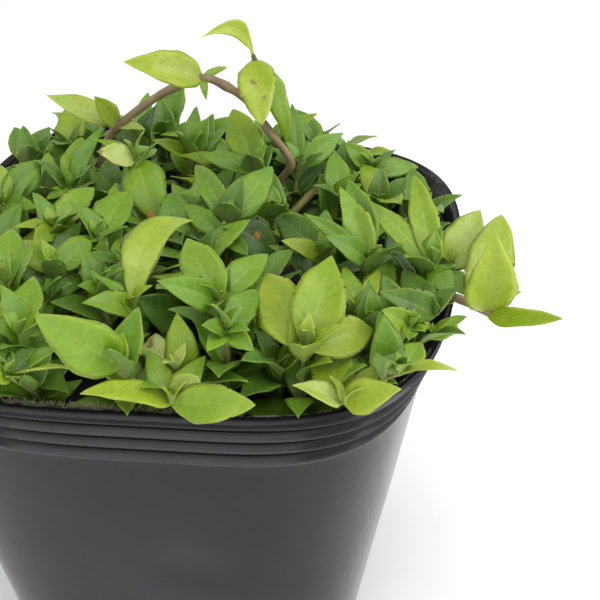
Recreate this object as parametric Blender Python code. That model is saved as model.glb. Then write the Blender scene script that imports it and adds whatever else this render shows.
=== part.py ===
"""Staurogyne repens growing in a soft square nursery pot. Blender 4.5, metres, +Z up."""

import math
import random
from collections import namedtuple

import bpy
import bmesh
from mathutils import Matrix, Vector
from mathutils.bvhtree import BVHTree

# Driving dimensions in millimetres
MM = 0.001
POT_HALF = 52.5
POT_HEIGHT = 90.0
POT_DEPTH_RATIO = 1.041
FOOT_SHARE = 0.695
FOOT_ROUND = 2.0
FOOT_ROUND_SHARE = 0.015
WALL = 0.9
FLOOR = 1.5
CORNER_POWER_FOOT = 3.35
CORNER_POWER_LIP = 3.7
WALL_WOBBLE = 0.029
POT_SIDES = 32
CORNER_CROWDING = 0.12
GAP = 0.3
WELD = 0.000001
ON_AXIS = 0.01

# The ribs under the lip, from the lip down
LIP_BEAD = 0.5
LIP_STEP = 0.9
FIRST_RIB = 2.55
RIB_HEIGHT = 3.55
RIB_STEP = 2.0
RIB_FLARE = 0.8
RIB_COUNT = 4
STEP_HEIGHT = 0.4
LAST_STEP = 0.6
BAND_BACKING = 1.6

# Drain holes around the solid middle of the base
DRAIN_COUNT = 6
DRAIN_RADIUS = 3.5
DRAIN_RING = 21.0

SOIL_GAP = 0.5
SOIL_LEVEL = 80.0
SOIL_LUMP = 1.2
SOIL_RINGS = (1.0, 0.75, 0.5, 0.25)

# Leaf solids
LEAF_THICKNESS = 0.8
LONG_LEAF = 14.5
LEAF_FOLD = math.radians(16)
WIDEST_POWER = 0.78
STALK_SHARE = 0.16
OUTLINE_POWER = 0.92
LEVEL_LEAST = 0.2
STEM_RADIUS = 0.75
RUNNER_RADIUS = 1.0
STEM_ROUNDNESS = 0
FOOT_CLEARANCE = 0.9
CLEARANCE = 0.4
OUTER_FROM = 0.35
STEM_TEST_SIDES = 6
TUBE_REFERENCE = Vector((0.3, 1.0, 0.2))
TOP_STUB = 0.8
STEM_BEND = 0.3
FOOT_PULL = 0.95
FOOT_MARGIN = 2.5
FOOT_STEP = 0.02
FOOT_PULLS = (1.0, 0.92, 0.84, 0.76)
FOOT_SHIFTS = ((0, 0), (4, 0), (-4, 0), (0, 4), (0, -4))

# How a leaf that meets something gives way: turns and lifts in degrees, and shares of its size
TURNS = (0, 7, -7, 14, -14, 22, -22)
LIFTS = (0, 7, -7, 14, -14, 21)
SCALES = (1.0, 0.9, 0.8, 0.65)
SLIM_LEAST = 0.4

# The photograph's camera, which the pixel positions below are read through
PHOTO_MIDDLE = 300
PHOTO_FOCAL = 1250.0
PHOTO_TURN = math.radians(10.03)
PHOTO_TILT = 0.575
PHOTO_RANGE = 257.8
PHOTO_AIM = Vector((21.93, 3.88, 77.14))

# Fill between the shoots that the photograph shows
SEED = 11
FILL_PITCH = 8.0
FILL_JITTER = 2.0
FILL_KEEP_OFF = 4.0
FILL_HEIGHT = 10.0
FILL_BACK_RISE = -2.0
FILL_LENGTH = 12.5
FILL_SLIMNESS = 0.48
FILL_DROOP = 0.1
TOP_STEEPNESS = 20
PAIR_TWIST = 0.25
PAIR_RISE = (5, 25)
PAIR_SIZES = (0.85, 1.15)
CREEPER_STEPS = 5
CREEPER_PITCH = 9.0
CREEPER_TRIES = 20
CREEPER_TAIL = 1.5
CREEPER_LIFT = 1.8
CREEPER_BEND = 0.8
UPRIGHT_SPREAD = 1.05
UPRIGHT_LEAN = 1.5
HEIGHT_SPREAD = 2.0
NODE_LIMIT = 60

Leaf = namedtuple("Leaf", "tip length width lean face droop sweep")
Shoot = namedtuple("Shoot", "top height leaves")
Blade = namedtuple("Blade", "base tip normal length width droop sweep")
Plant = namedtuple("Plant", "name routes radius blades")


def leaf(tip, length, width, lean=-1, face=0.5, droop=0.08, sweep=0.0):
    """One leaf by the pixel of its tip; lean +1 comes towards the camera, face 1 is turned square to it."""
    return Leaf(tip, length, width, lean, face, droop, sweep)


# The shoots that the photograph shows: the pixel and height of the top, then the leaves it carries
SHOOTS = {
    "shoot_big_leaf": Shoot((122, 367), 96, [
        leaf((38, 317), 18, 9, 1, 0.9),
        leaf((140, 345), 8, 4, -1, 0.3),
    ]),
    "shoot_tall_fold": Shoot((133, 310), 98, [
        leaf((194, 224), 24, 7, -1, 0.6, 0.2, -0.16),
        leaf((86, 301), 11, 5, 1, 0.6),
    ]),
    "shoot_v_pair": Shoot((102, 292), 98, [
        leaf((91, 256), 9, 4.6, -1, 0.7),
        leaf((139, 260), 10, 4.2, -1, 0.5),
        leaf((78, 286), 6, 3.4, 1, 0.5),
    ]),
    "shoot_oval": Shoot((126, 264), 98, [
        leaf((118, 235), 8, 5, -1, 0.8),
        leaf((143, 257), 5, 2.5, -1, 0.3),
    ]),
    "shoot_shadow": Shoot((184, 322), 91, [
        leaf((138, 298), 12, 8, 1, 0.8),
        leaf((170, 350), 9, 6, 1, 0.6),
    ]),
    "shoot_centre": Shoot((217, 302), 101, [
        leaf((186, 236), 15, 7.5, -1, 0.9),
        leaf((270, 249), 15, 5.5, -1, 0.7),
        leaf((162, 281), 13, 5.8, 1, 0.8),
    ]),
    "shoot_rosette": Shoot((226, 332), 100, [
        leaf((243, 287), 11, 5.6, -1, 0.9),
        leaf((202, 325), 7, 3.4, 1, 0.6),
        leaf((248, 328), 6, 3.2, 1, 0.3),
        leaf((247, 348), 7, 3.6, 1, 0.5),
        leaf((207, 352), 7, 3.2, 1, 0.4),
    ]),
    "shoot_twin_gold": Shoot((306, 348), 98, [
        leaf((246, 282), 18, 9, -1, 0.9),
        leaf((332, 254), 18, 9.2, -1, 1.0),
        leaf((376, 328), 14, 7.5, -1, 0.8),
        leaf((344, 323), 8, 2.4, 1, 0.3),
    ]),
    "shoot_front_rosette": Shoot((343, 402), 92, [
        leaf((313, 338), 14.5, 7.2, -1, 0.8),
        leaf((296, 384), 10, 4.4, 1, 0.6),
        leaf((397, 389), 10.5, 6, 1, 0.8),
        leaf((396, 370), 11, 3.6, -1, 0.4),
        leaf((362, 384), 6, 3.6, -1, 0.6),
    ]),
    "shoot_right_front": Shoot((398, 374), 97, [
        leaf((379, 311), 12, 4.4, -1, 0.9),
        leaf((423, 339), 8.5, 4.6, -1, 0.8),
        leaf((456, 368), 11, 2.4, 1, 0.2, 0.1),
        leaf((406, 358), 4, 2.4, 1, 0.6),
    ]),
    "shoot_spear": Shoot((372, 326), 96, [
        leaf((378, 294), 7, 4, -1, 0.8),
        leaf((395, 345), 6, 3, 1, 0.4),
    ]),
    "shoot_gold_spear": Shoot((359, 318), 95, [
        leaf((380, 266), 12, 3, -1, 0.7),
        leaf((357, 266), 11, 4, -1, 0.6),
    ]),
    "shoot_spotted": Shoot((409, 328), 98, [
        leaf((382, 310), 7, 4.2, 1, 0.7),
        leaf((429, 315), 7, 5, -1, 0.8),
        leaf((397, 338), 5, 3, 1, 0.4),
    ]),
    "shoot_rim_spear": Shoot((429, 338), 94, [
        leaf((459, 325), 8, 3.2, -1, 0.6),
        leaf((450, 312), 9, 2.6, -1, 0.4),
    ]),
    "shoot_dark_pair": Shoot((434, 316), 97, [
        leaf((403, 271), 13, 5.6, -1, 0.8),
        leaf((385, 292), 13, 5.6, 1, 0.8),
    ]),
    "shoot_lances": Shoot((432, 266), 99, [
        leaf((414, 177), 20, 5.4, -1, 0.9),
        leaf((389, 190), 19, 5, -1, 0.8),
        leaf((450, 296), 8, 5, 1, 0.7),
        leaf((420, 232), 8, 4.4, -1, 0.7),
    ]),
    "shoot_edge_twin": Shoot((447, 269), 97, [
        leaf((480, 211), 14.5, 8, -1, 1.0),
        leaf((484, 252), 9, 3.8, -1, 0.5),
        leaf((463, 300), 7, 4.2, 1, 0.7),
    ]),
    "shoot_spires": Shoot((369, 262), 99, [
        leaf((358, 178), 18, 6, -1, 0.9),
        leaf((346, 194), 15, 5.4, -1, 0.8),
        leaf((307, 209), 14, 3.6, 1, 0.7),
        leaf((329, 236), 11, 5, 1, 0.7),
        leaf((415, 247), 10, 2, -1, 0.1),
    ]),
    "shoot_dark_gold": Shoot((322, 258), 97, [
        leaf((276, 212), 14, 7, -1, 0.8),
        leaf((283, 240), 9, 4, 1, 0.6),
    ]),
    "shoot_back_centre": Shoot((229, 222), 100, [
        leaf((272, 167), 16, 7, -1, 0.9),
        leaf((195, 162), 16, 4.6, -1, 0.8),
        leaf((256, 204), 6, 2.6, 1, 0.6),
        leaf((274, 262), 11, 8, 1, 0.6),
    ]),
    "shoot_small_oval": Shoot((274, 216), 97, [
        leaf((264, 190), 7, 3.8, -1, 0.9),
        leaf((292, 213), 5, 2.4, 1, 0.4),
    ]),
    "shoot_blue": Shoot((226, 240), 98, [
        leaf((184, 204), 12, 4.6, -1, 0.8),
        leaf((248, 255), 7, 3.6, 1, 0.4),
    ]),
    "shoot_blue_back": Shoot((203, 226), 95, [
        leaf((176, 194), 9, 6, -1, 0.9),
    ]),
    "shoot_orange_spot": Shoot((136, 161), 103, [
        leaf((160, 224), 15, 9, 1, 1.0, 0.12),
        leaf((96, 152), 9.5, 5.2, 1, 0.7),
        leaf((156, 146), 8, 4, -1, 0.4),
    ]),
    "shoot_olive": Shoot((98, 240), 98, [
        leaf((130, 188), 15, 7, -1, 0.8),
        leaf((58, 249), 10, 3, 1, 0.3),
    ]),
    "shoot_left_fold": Shoot((55, 229), 97, [
        leaf((94, 185), 13.5, 6, -1, 0.7),
        leaf((36, 192), 9, 3, -1, 0.6),
        leaf((14, 226), 9, 3, 1, 0.4),
        leaf((20, 240), 9, 5, 1, 0.5),
    ]),
    "shoot_left_lance": Shoot((72, 190), 97, [
        leaf((82, 137), 13, 5.8, -1, 0.9),
        leaf((46, 200), 8, 3, 1, 0.5),
        leaf((83, 127), 15, 4, -1, 0.4),
    ]),
    "shoot_far_left": Shoot((4, 205), 97, [
        leaf((42, 160), 13, 6.6, -1, 0.8),
        leaf((37, 208), 8, 4, 1, 0.6),
        leaf((0, 165), 10, 5, -1, 0.6),
    ]),
    "shoot_back_left": Shoot((28, 162), 95, [
        leaf((14, 127), 9.5, 5, -1, 0.8),
        leaf((50, 128), 9.5, 4.4, -1, 0.8),
    ]),
    "shoot_left_oval": Shoot((54, 273), 98, [
        leaf((16, 240), 10.5, 5, -1, 0.8),
        leaf((92, 241), 10, 5.4, -1, 0.7),
    ]),
    "shoot_left_small": Shoot((48, 300), 95, [
        leaf((86, 275), 9.5, 4, -1, 0.6),
        leaf((50, 272), 7, 4.4, -1, 0.7),
        leaf((30, 334), 9, 5, 1, 0.5),
    ]),
    "shoot_left_broad": Shoot((20, 337), 97, [
        leaf((33, 275), 12.5, 6.4, -1, 0.9),
        leaf((-6, 300), 9, 5.6, -1, 0.8),
        leaf((42, 330), 6, 3, -1, 0.3),
    ]),
    "shoot_left_pale": Shoot((8, 285), 99, [
        leaf((11, 226), 13, 6, -1, 0.8),
        leaf((-22, 262), 9, 5, -1, 0.6),
    ]),
    "shoot_left_strip": Shoot((10, 377), 95, [
        leaf((74, 367), 12, 3, 1, -0.3),
        leaf((4, 346), 7, 3, -1, 0.6),
        leaf((34, 346), 8, 5.4, -1, 0.6),
        leaf((-20, 372), 7, 4, 1, 0.5),
    ]),
    "shoot_lip_rosette": Shoot((172, 403), 92, [
        leaf((255, 405), 14.5, 6.6, 1, 0.9),
        leaf((147, 348), 11, 4.2, -1, 0.7),
        leaf((205, 354), 10, 4.6, -1, 0.7),
        leaf((199, 372), 7.5, 5, 1, -0.7),
        leaf((84, 386), 15, 5.6, 1, 0.2),
    ]),
    "shoot_gold_curl": Shoot((178, 372), 94, [
        leaf((118, 350), 13, 4.6, -1, 0.5, 0.22),
        leaf((184, 334), 8, 4, -1, 0.6),
    ]),
    "shoot_back_spear": Shoot((191, 158), 94, [
        leaf((196, 103), 13.5, 4, -1, 0.9),
        leaf((152, 140), 10.5, 3.6, 1, 0.6),
        leaf((216, 138), 8, 1.8, -1, 0.3),
        leaf((208, 118), 9, 5, -1, 0.8),
    ]),
    "shoot_back_tall": Shoot((256, 172), 98, [
        leaf((232, 106), 16.5, 7.6, -1, 1.0),
        leaf((202, 154), 11, 4.6, 1, 0.6),
    ]),
    "shoot_back_blue": Shoot((141, 142), 95, [
        leaf((148, 92), 12.5, 4, -1, 0.8),
    ]),
    "shoot_back_right": Shoot((298, 168), 96, [
        leaf((343, 133), 13, 5.4, -1, 0.8),
        leaf((292, 103), 15, 4, -1, 0.7),
    ]),
    "shoot_far_back": Shoot((372, 172), 93, [
        leaf((346, 142), 8.5, 4.6, -1, 0.7),
        leaf((420, 165), 12, 4.8, -1, 0.7),
    ]),
}

# The runner's route over the back left of the pot, in millimetres, from its left foot to its right foot
RUNNER_ROUTE = [
    (-29, 25, 81.5), (-27, 24, 89), (-24, 24, 99), (-21, 24, 103.5), (-14, 24, 109.5), (-8, 24, 113.5),
    (-2, 24, 116), (3, 24, 114.5), (8, 24, 111), (11.5, 24, 105.5), (15, 24, 101), (16.5, 24, 97.5),
    (13, 24.5, 92), (10, 25, 81.5),
]
RUNNER_CROWN_ROUTE = [(8.5, 24, 110.5), (10.5, 23, 115.5), (9.5, 22, 121.5), (9.2, 21.7, 122.6)]
RUNNER_LEAVES = [
    ((-2, 24, 116), leaf((126, 61), 17.5, 7.6, 1, 0.9)),
    ((-2, 24, 116), leaf((227, 68), 6, 1.8, -1, 0.5)),
    ((-2, 24, 116), leaf((206, 98), 5, 1.6, 1, 0.3)),
    ((-21, 24, 103.5), leaf((46, 97), 16, 5.4, 1, 0.6)),
    ((-21, 24, 103.5), leaf((93, 96), 10, 4.6, 1, 0.7)),
    ((-21, 24, 103.5), leaf((145, 130), 7, 2.6, 1, 0.4)),
    ((9.5, 22, 121.5), leaf((207, 36), 13, 3.6, 1, 0.8, 0.05, 0.3)),
    ((9.5, 22, 121.5), leaf((262, 125), 17, 7.6, 1, 0.9, 0.1)),
    ((9.5, 22, 121.5), leaf((286, 142), 21, 5.6, -1, 0.6, 0.12)),
]

# The shoot that leans out over the right side of the lip
SIDE_ROUTE = [
    (36, 9, 81.5), (39, 6.2, 86.5), (45.5, 3.7, 88.5), (47.5, -4, 90), (50, -12.5, 92.8), (55, -18, 95),
    (59, -20, 94.5), (60.8, -21, 94.4),
]
SIDE_LEAVES = [
    ((60, -20.6, 94.4), leaf((496, 236), 16.5, 9.4, 1, 1.0, 0.1)),
    ((58, -19.5, 94.8), leaf((503, 213), 20, 8.8, -1, 1.0, 0.08)),
    ((60, -20.6, 94.4), leaf((562, 318), 16.5, 4.6, 1, 0.5, 0.04, 0.06)),
    ((60, -20.6, 94.4), leaf((521, 291), 6.5, 2.4, -1, 0.5)),
]

# Two thick old stems that show between the leaves
OLD_STEMS = {
    "old_stem_right": [
        (24.5, 44, 81.5), (25.5, 43, 88), (24.5, 40.5, 91.5), (21.7, 28, 91), (17.3, 20.5, 88),
        (13.5, 20, 81.5),
    ],
    "old_stem_left": [
        (-10, 25, 81.5), (-8.5, 24.6, 85.5), (-5.6, 25, 87.4), (-1.9, 29.8, 89.5), (4.4, 33, 90.5),
        (7.2, 36, 88), (7.5, 38, 81.5),
    ],
}


def photo_ray(pixel):
    """The camera's place and the direction in which it sees this pixel of the photograph."""
    back = Vector((
        math.sin(PHOTO_TURN) * math.cos(PHOTO_TILT),
        -math.cos(PHOTO_TURN) * math.cos(PHOTO_TILT),
        math.sin(PHOTO_TILT),
    ))
    right = Vector((math.cos(PHOTO_TURN), math.sin(PHOTO_TURN), 0))
    up = back.cross(right)
    across = (pixel[0] - PHOTO_MIDDLE) / PHOTO_FOCAL
    down = (pixel[1] - PHOTO_MIDDLE) / PHOTO_FOCAL
    return PHOTO_AIM + back * PHOTO_RANGE, (right * across - up * down - back).normalized()


def at_height(pixel, height):
    """The point at this height that the camera sees at this pixel."""
    eye, ray = photo_ray(pixel)
    return eye + ray * ((height - eye.z) / ray.z)


def tip_from(base, pixel, length, lean):
    """The point seen at this pixel that lies the leaf's length from its base, or the nearest there is."""
    eye, ray = photo_ray(pixel)
    along = (base - eye).dot(ray)
    spare = length**2 - (eye + ray * along - base).length_squared
    return eye + ray * (along - lean * math.sqrt(max(spare, 0)))


def facing(base, tip, face):
    """The leaf's upper side: level at face 0, square to the camera at face 1, its back to it below 0."""
    axis = (tip - base).normalized()
    view = photo_ray((PHOTO_MIDDLE, PHOTO_MIDDLE))[1]
    level = Vector((0, 0, 1)) - axis * axis.z
    square = -(view - axis * view.dot(axis)) * math.copysign(1, face)
    if level.length < LEVEL_LEAST:
        level = square
    return (level.normalized() * (1 - abs(face)) + square.normalized() * abs(face)).normalized()


def blade_from(base, spec):
    tip = tip_from(base, spec.tip, spec.length, spec.lean)
    normal = facing(base, tip, spec.face)
    return Blade(base, tip, normal, (tip - base).length, spec.width, spec.droop, spec.sweep)


def half_width(share, width):
    """Half the leaf's width at this share of its length: narrow stalk, oval blade, pointed tip."""
    oval = math.sin(math.pi * min(share, 1) ** WIDEST_POWER) ** OUTLINE_POWER
    return width / 2 * max(oval, STALK_SHARE * (1 - share))


def blade_solid(blade, grow=0.0, start=0.0):
    """The leaf's solid: a sphere of three meridians, bent so that they are its two edges and its keel."""
    ball = bmesh.new()
    rows = 4 if blade.length > LONG_LEAF else 3
    bmesh.ops.create_uvsphere(ball, u_segments=3, v_segments=rows, radius=1)
    axis = (blade.tip - blade.base).normalized()
    side = axis.cross(blade.normal).normalized()
    verts = []
    for vert in ball.verts:
        share = start + (1 - start) * (1 + vert.co.z) / 2
        half = half_width(share, blade.width) + grow
        bow = 4 * share * (1 - share) * blade.length
        place = blade.base + (blade.tip - blade.base) * share + axis * vert.co.z * grow
        place += blade.normal * bow * blade.droop + side * bow * blade.sweep
        if abs(vert.co.x) > ON_AXIS:
            place += side * math.copysign(half, vert.co.x)
            place += blade.normal * (half * math.tan(LEAF_FOLD) + grow)
        elif vert.co.y > ON_AXIS:
            place -= blade.normal * (LEAF_THICKNESS / 2 + grow)
        verts.append(place)
    faces = [[v.index for v in face.verts] for face in ball.faces]
    ball.free()
    return verts, faces


def superellipse(share, height, inset=0.0):
    """The pot's outline at this height, as a share of the lip's, with the soft wall's slight unevenness."""
    climb = height / POT_HEIGHT
    power = CORNER_POWER_FOOT + (CORNER_POWER_LIP - CORNER_POWER_FOOT) * climb
    points = []
    for step in range(POT_SIDES):
        turn = math.tau * step / POT_SIDES
        turn += CORNER_CROWDING * math.sin(4 * turn)
        cos, sin = math.cos(turn), math.sin(turn)
        reach = (abs(cos) ** power + abs(sin) ** power) ** (-1 / power) * POT_HALF * share - inset
        reach *= 1 + WALL_WOBBLE * climb * math.cos(3 * turn)
        points.append(Vector((reach * cos, reach * sin * POT_DEPTH_RATIO, height)))
    return points


def outer_profile():
    """Height and share of the lip's size, from the lip down the ribs to the foot."""
    reach, height = 0.0, POT_HEIGHT
    rows = [(height, reach), (height - LIP_BEAD, reach)]
    height -= LIP_BEAD + STEP_HEIGHT / 2
    reach -= LIP_STEP
    for rib in range(RIB_COUNT):
        rows.append((height, reach))
        reach += RIB_FLARE
        height -= (RIB_HEIGHT if rib else FIRST_RIB) - STEP_HEIGHT
        rows.append((height, reach))
        reach -= LAST_STEP if rib == RIB_COUNT - 1 else RIB_STEP
        height -= STEP_HEIGHT
    rows.append((height, reach))
    profile = [(height, 1 + reach / POT_HALF) for height, reach in rows]
    profile += [(FOOT_ROUND, FOOT_SHARE), (0.0, FOOT_SHARE - FOOT_ROUND_SHARE)]
    return profile


def inner_share(height):
    """The inside of the pot at this height, as a share of the lip's outline."""
    band_foot, band_share = outer_profile()[-3]
    if height <= band_foot:
        climb = height / band_foot
        return FOOT_SHARE + (band_share - FOOT_SHARE) * climb - WALL / POT_HALF
    climb = (height - band_foot) / (POT_HEIGHT - band_foot)
    wall = WALL * (1 + BAND_BACKING * math.sin(math.pi * climb))
    return band_share + (1 - band_share) * climb - wall / POT_HALF


def soil_height(x, y):
    """The uneven top of the soil."""
    lumps = math.sin(x * 0.31 + 1.7) * math.cos(y * 0.27 - 0.6) + 0.6 * math.sin(x * 0.13 - y * 0.19)
    return SOIL_LEVEL + SOIL_LUMP * lumps


def loft(rings, closed_ends):
    """The vertices and faces of a skin through rings of equal length, with flat ends if asked."""
    sides = len(rings[0])
    verts = [point for ring in rings for point in ring]
    faces = []
    for row in range(len(rings) - 1):
        for step in range(sides):
            after = (step + 1) % sides
            low, high = row * sides, (row + 1) * sides
            faces.append((low + step, low + after, high + after, high + step))
    if closed_ends:
        faces.append(tuple(reversed(range(sides))))
        faces.append(tuple(range(len(verts) - sides, len(verts))))
    return verts, faces


def pot_rings():
    """The pot's outlines in order: up the outside, over the lip and down the inside to the floor."""
    rings = [superellipse(share, height) for height, share in reversed(outer_profile())]
    for height in (POT_HEIGHT, POT_HEIGHT * 0.9, outer_profile()[-3][0], POT_HEIGHT * 0.4, FLOOR):
        rings.append(superellipse(inner_share(height), height))
    return rings


def soil_rings():
    """The soil's outlines: up its side, then inwards over its top."""
    heights = (FLOOR + GAP, SOIL_LEVEL * 0.5, outer_profile()[-3][0] - 1.0)
    rings = [superellipse(inner_share(height), height, inset=SOIL_GAP) for height in heights]
    for share in SOIL_RINGS:
        ring = superellipse(inner_share(SOIL_LEVEL) * share, SOIL_LEVEL, inset=SOIL_GAP)
        rings.append([Vector((point.x, point.y, soil_height(point.x, point.y))) for point in ring])
    return rings


def soil_skin():
    """The soil's solid in triangles, so that the plants stand on the very facets that are built."""
    verts, faces = loft(soil_rings(), True)
    fans = [(face[0], face[k], face[k + 1]) for face in faces for k in range(1, len(face) - 1)]
    return verts, fans


def soil_top():
    """The soil's solid as a search tree, from which the height of its facets is read."""
    return BVHTree.FromPolygons(*soil_skin())


def facet_height(soil, x, y):
    """The height of the soil's solid at this place."""
    return soil.ray_cast(Vector((x, y, POT_HEIGHT)), Vector((0, 0, -1)))[0].z


class Thicket:
    """What is already in place, so that each new leaf or stem keeps clear of it."""

    def __init__(self):
        self.taken = []

    def add(self, owner, shape, outer=None):
        """Takes a shape into the thicket, with its outer part for the tests within its own plant."""
        for part, found in (("whole", shape), ("outer", outer)):
            if found:
                self.taken.append((owner, part, BVHTree.FromPolygons(*found), *bounds(found[0])))

    def clear(self, owner, shape, outer=None):
        """Whether a shape meets nothing of another owner, and its outer part nothing of its own."""
        tests = {"whole": (shape, BVHTree.FromPolygons(*shape), *bounds(shape[0]))}
        if outer:
            tests["outer"] = (outer, BVHTree.FromPolygons(*outer), *bounds(outer[0]))
        for other, part, tree, low, high in self.taken:
            wanted = "outer" if other == owner else "whole"
            if part != wanted or wanted not in tests:
                continue
            _, own_tree, own_low, own_high = tests[wanted]
            if any(own_high[k] < low[k] or own_low[k] > high[k] for k in range(3)):
                continue
            if own_tree.overlap(tree):
                return False
        return True


def bounds(verts):
    low = [min(vert[axis] for vert in verts) for axis in range(3)]
    high = [max(vert[axis] for vert in verts) for axis in range(3)]
    return low, high


def tube(route, radius):
    """A plain tube along a route, to test what it meets."""
    rings = []
    for step, point in enumerate(route):
        before, after = route[max(step - 1, 0)], route[min(step + 1, len(route) - 1)]
        along = (Vector(after) - Vector(before)).normalized()
        side = along.cross(TUBE_REFERENCE).normalized()
        other = along.cross(side)
        ring = []
        for corner in range(STEM_TEST_SIDES):
            turn = math.tau * corner / STEM_TEST_SIDES
            ring.append(Vector(point) + (side * math.cos(turn) + other * math.sin(turn)) * radius)
        rings.append(ring)
    return loft(rings, True)


def variants(blade):
    """The leaf as drawn, then turned, lifted and shortened a little more each time."""
    for scale in SCALES:
        for lift in LIFTS:
            for turn in TURNS:
                reach = (blade.tip - blade.base) * scale
                side = reach.cross(blade.normal).normalized()
                spin = Matrix.Rotation(math.radians(turn), 3, "Z")
                spin = spin @ Matrix.Rotation(math.radians(lift), 3, side)
                yield blade._replace(
                    tip=blade.base + spin @ reach,
                    normal=(spin @ blade.normal).normalized(),
                    length=blade.length * scale,
                    width=blade.width * (SLIM_LEAST + (1 - SLIM_LEAST) * scale),
                )


def settle(thicket, owner, blade):
    """The first variant of the leaf that is clear of everything, now part of the thicket, or None."""
    for option in variants(blade):
        if thicket.clear(owner, blade_solid(option, CLEARANCE), blade_solid(option, CLEARANCE, OUTER_FROM)):
            thicket.add(owner, blade_solid(option), blade_solid(option, 0, OUTER_FROM))
            return option
    return None


def in_pot(x, y, margin):
    """Whether this place on the soil is at least the margin away from the pot's wall."""
    turn = math.atan2(y / POT_DEPTH_RATIO, x)
    cos, sin = abs(math.cos(turn)), abs(math.sin(turn))
    reach = (cos**CORNER_POWER_LIP + sin**CORNER_POWER_LIP) ** (-1 / CORNER_POWER_LIP)
    reach *= POT_HALF * inner_share(SOIL_LEVEL) * (1 + WALL_WOBBLE * math.cos(3 * turn))
    return math.hypot(x, y / POT_DEPTH_RATIO) < reach - margin


def foot_under(soil, top):
    """Where a shoot with this top leaves the soil: below it, or leaning in where that is past the wall."""
    share = FOOT_PULL
    while not in_pot(top.x * share, top.y * share, FOOT_MARGIN):
        share -= FOOT_STEP
    x, y = top.x * share, top.y * share
    return Vector((x, y, facet_height(soil, x, y) + FOOT_CLEARANCE))


def stem_route(foot, top):
    """A stem that rises steeply first and then leans to its top, which it passes by a little."""
    rise = top - foot
    middle = foot + Vector((rise.x * STEM_BEND, rise.y * STEM_BEND, rise.z * 0.5))
    return [foot, middle, top + (top - middle).normalized() * TOP_STUB]


def plant_stem(soil, thicket, name, top):
    """The stem of a shoot, its foot moved until the stem is clear, or None."""
    for pull in FOOT_PULLS:
        for across, along in FOOT_SHIFTS:
            foot = foot_under(soil, Vector((top.x * pull + across, top.y * pull + along, top.z)))
            route = stem_route(foot, top)
            if thicket.clear(name, tube(route, STEM_RADIUS + CLEARANCE)):
                thicket.add(name, tube(route, STEM_RADIUS))
                return route
    return None


def level_blade(base, heading, rise, length):
    """A leaf by its compass heading and its rise, both in radians, lying as a young leaf does."""
    reach = Vector((math.cos(heading) * math.cos(rise), math.sin(heading) * math.cos(rise), math.sin(rise)))
    tip = base + reach * length
    return Blade(base, tip, facing(base, tip, 0.0), length, length * FILL_SLIMNESS, FILL_DROOP, 0.0)


def leaf_pair(rng, base, heading, steepness, length):
    """Two opposite leaves."""
    for half in range(2):
        turn = heading + math.pi * half + rng.uniform(-PAIR_TWIST, PAIR_TWIST)
        rise = math.radians(rng.uniform(*PAIR_RISE) + steepness)
        yield level_blade(base, turn, rise, length * rng.uniform(*PAIR_SIZES))


def creeping_routes(rng, soil, start, heading):
    """A stem that creeps over the soil, and the upright shoots along it."""
    creeper, uprights = [], []
    x, y = start
    start_heading = heading
    for step in range(CREEPER_STEPS):
        creeper.append(Vector((x, y, facet_height(soil, x, y) + CREEPER_LIFT)))
        heading += rng.uniform(-CREEPER_BEND, CREEPER_BEND)
        x += CREEPER_PITCH * math.cos(heading)
        y += CREEPER_PITCH * math.sin(heading)
        if not in_pot(x, y, FILL_KEEP_OFF):
            break
    for foot in creeper:
        rise = FILL_HEIGHT + FILL_BACK_RISE * max(foot.y / POT_HALF, 0)
        rise += rng.uniform(-HEIGHT_SPREAD, HEIGHT_SPREAD)
        x = foot.x * UPRIGHT_SPREAD + rng.uniform(-UPRIGHT_LEAN, UPRIGHT_LEAN)
        y = foot.y * UPRIGHT_SPREAD + rng.uniform(-UPRIGHT_LEAN, UPRIGHT_LEAN)
        uprights.append(stem_route(foot, Vector((x, y, foot.z + rise))))
    tail = Vector((math.cos(start_heading), math.sin(start_heading), 0)) * CREEPER_TAIL
    return [creeper[0] - tail] + creeper, uprights


def fill_places(rng):
    """Places on the soil, on a jittered triangular grid."""
    places = []
    rows = int(POT_HALF / FILL_PITCH) + 1
    for row in range(-rows, rows + 1):
        for column in range(-rows, rows + 1):
            x = (column + 0.5 * (row % 2)) * FILL_PITCH + rng.uniform(-FILL_JITTER, FILL_JITTER)
            y = row * FILL_PITCH * math.sqrt(0.75) + rng.uniform(-FILL_JITTER, FILL_JITTER)
            if in_pot(x, y, FILL_KEEP_OFF):
                places.append((x, y))
    return places


def emptiest(places, planted):
    """The place that is farthest from every stem planted so far."""
    return max(places, key=lambda place: min(math.dist(place, foot) for foot in planted))


def grow_creeper(rng, soil, thicket, name, start):
    """A creeping stem with its uprights and their leaves, where there is room for at least two, or None."""
    for attempt in range(CREEPER_TRIES):
        creeper, uprights = creeping_routes(rng, soil, start, rng.uniform(0, math.tau))
        stems = [creeper] + uprights
        shapes = [tube(stem, STEM_RADIUS + CLEARANCE) for stem in stems]
        if len(uprights) > 1 and all(thicket.clear(name, shape) for shape in shapes):
            break
    else:
        return None
    for stem in stems:
        thicket.add(name, tube(stem, STEM_RADIUS))
    blades = []
    for foot, middle, end in uprights:
        heading = rng.uniform(0, math.pi)
        top = end - (end - middle).normalized() * TOP_STUB
        blades += leaf_pair(rng, top, heading, TOP_STEEPNESS, FILL_LENGTH)
    settled = [settle(thicket, name, blade) for blade in blades]
    return Plant(name, stems, STEM_RADIUS, [blade for blade in settled if blade])


def grow_runner(thicket, name, routes, leaves):
    """A plant whose stems are drawn by hand."""
    stems = [[Vector(point) for point in route] for route in routes]
    for stem in stems:
        thicket.add(name, tube(stem, RUNNER_RADIUS))
    blades = [settle(thicket, name, blade_from(Vector(base), spec)) for base, spec in leaves]
    return Plant(name, stems, RUNNER_RADIUS, [blade for blade in blades if blade])


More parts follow.
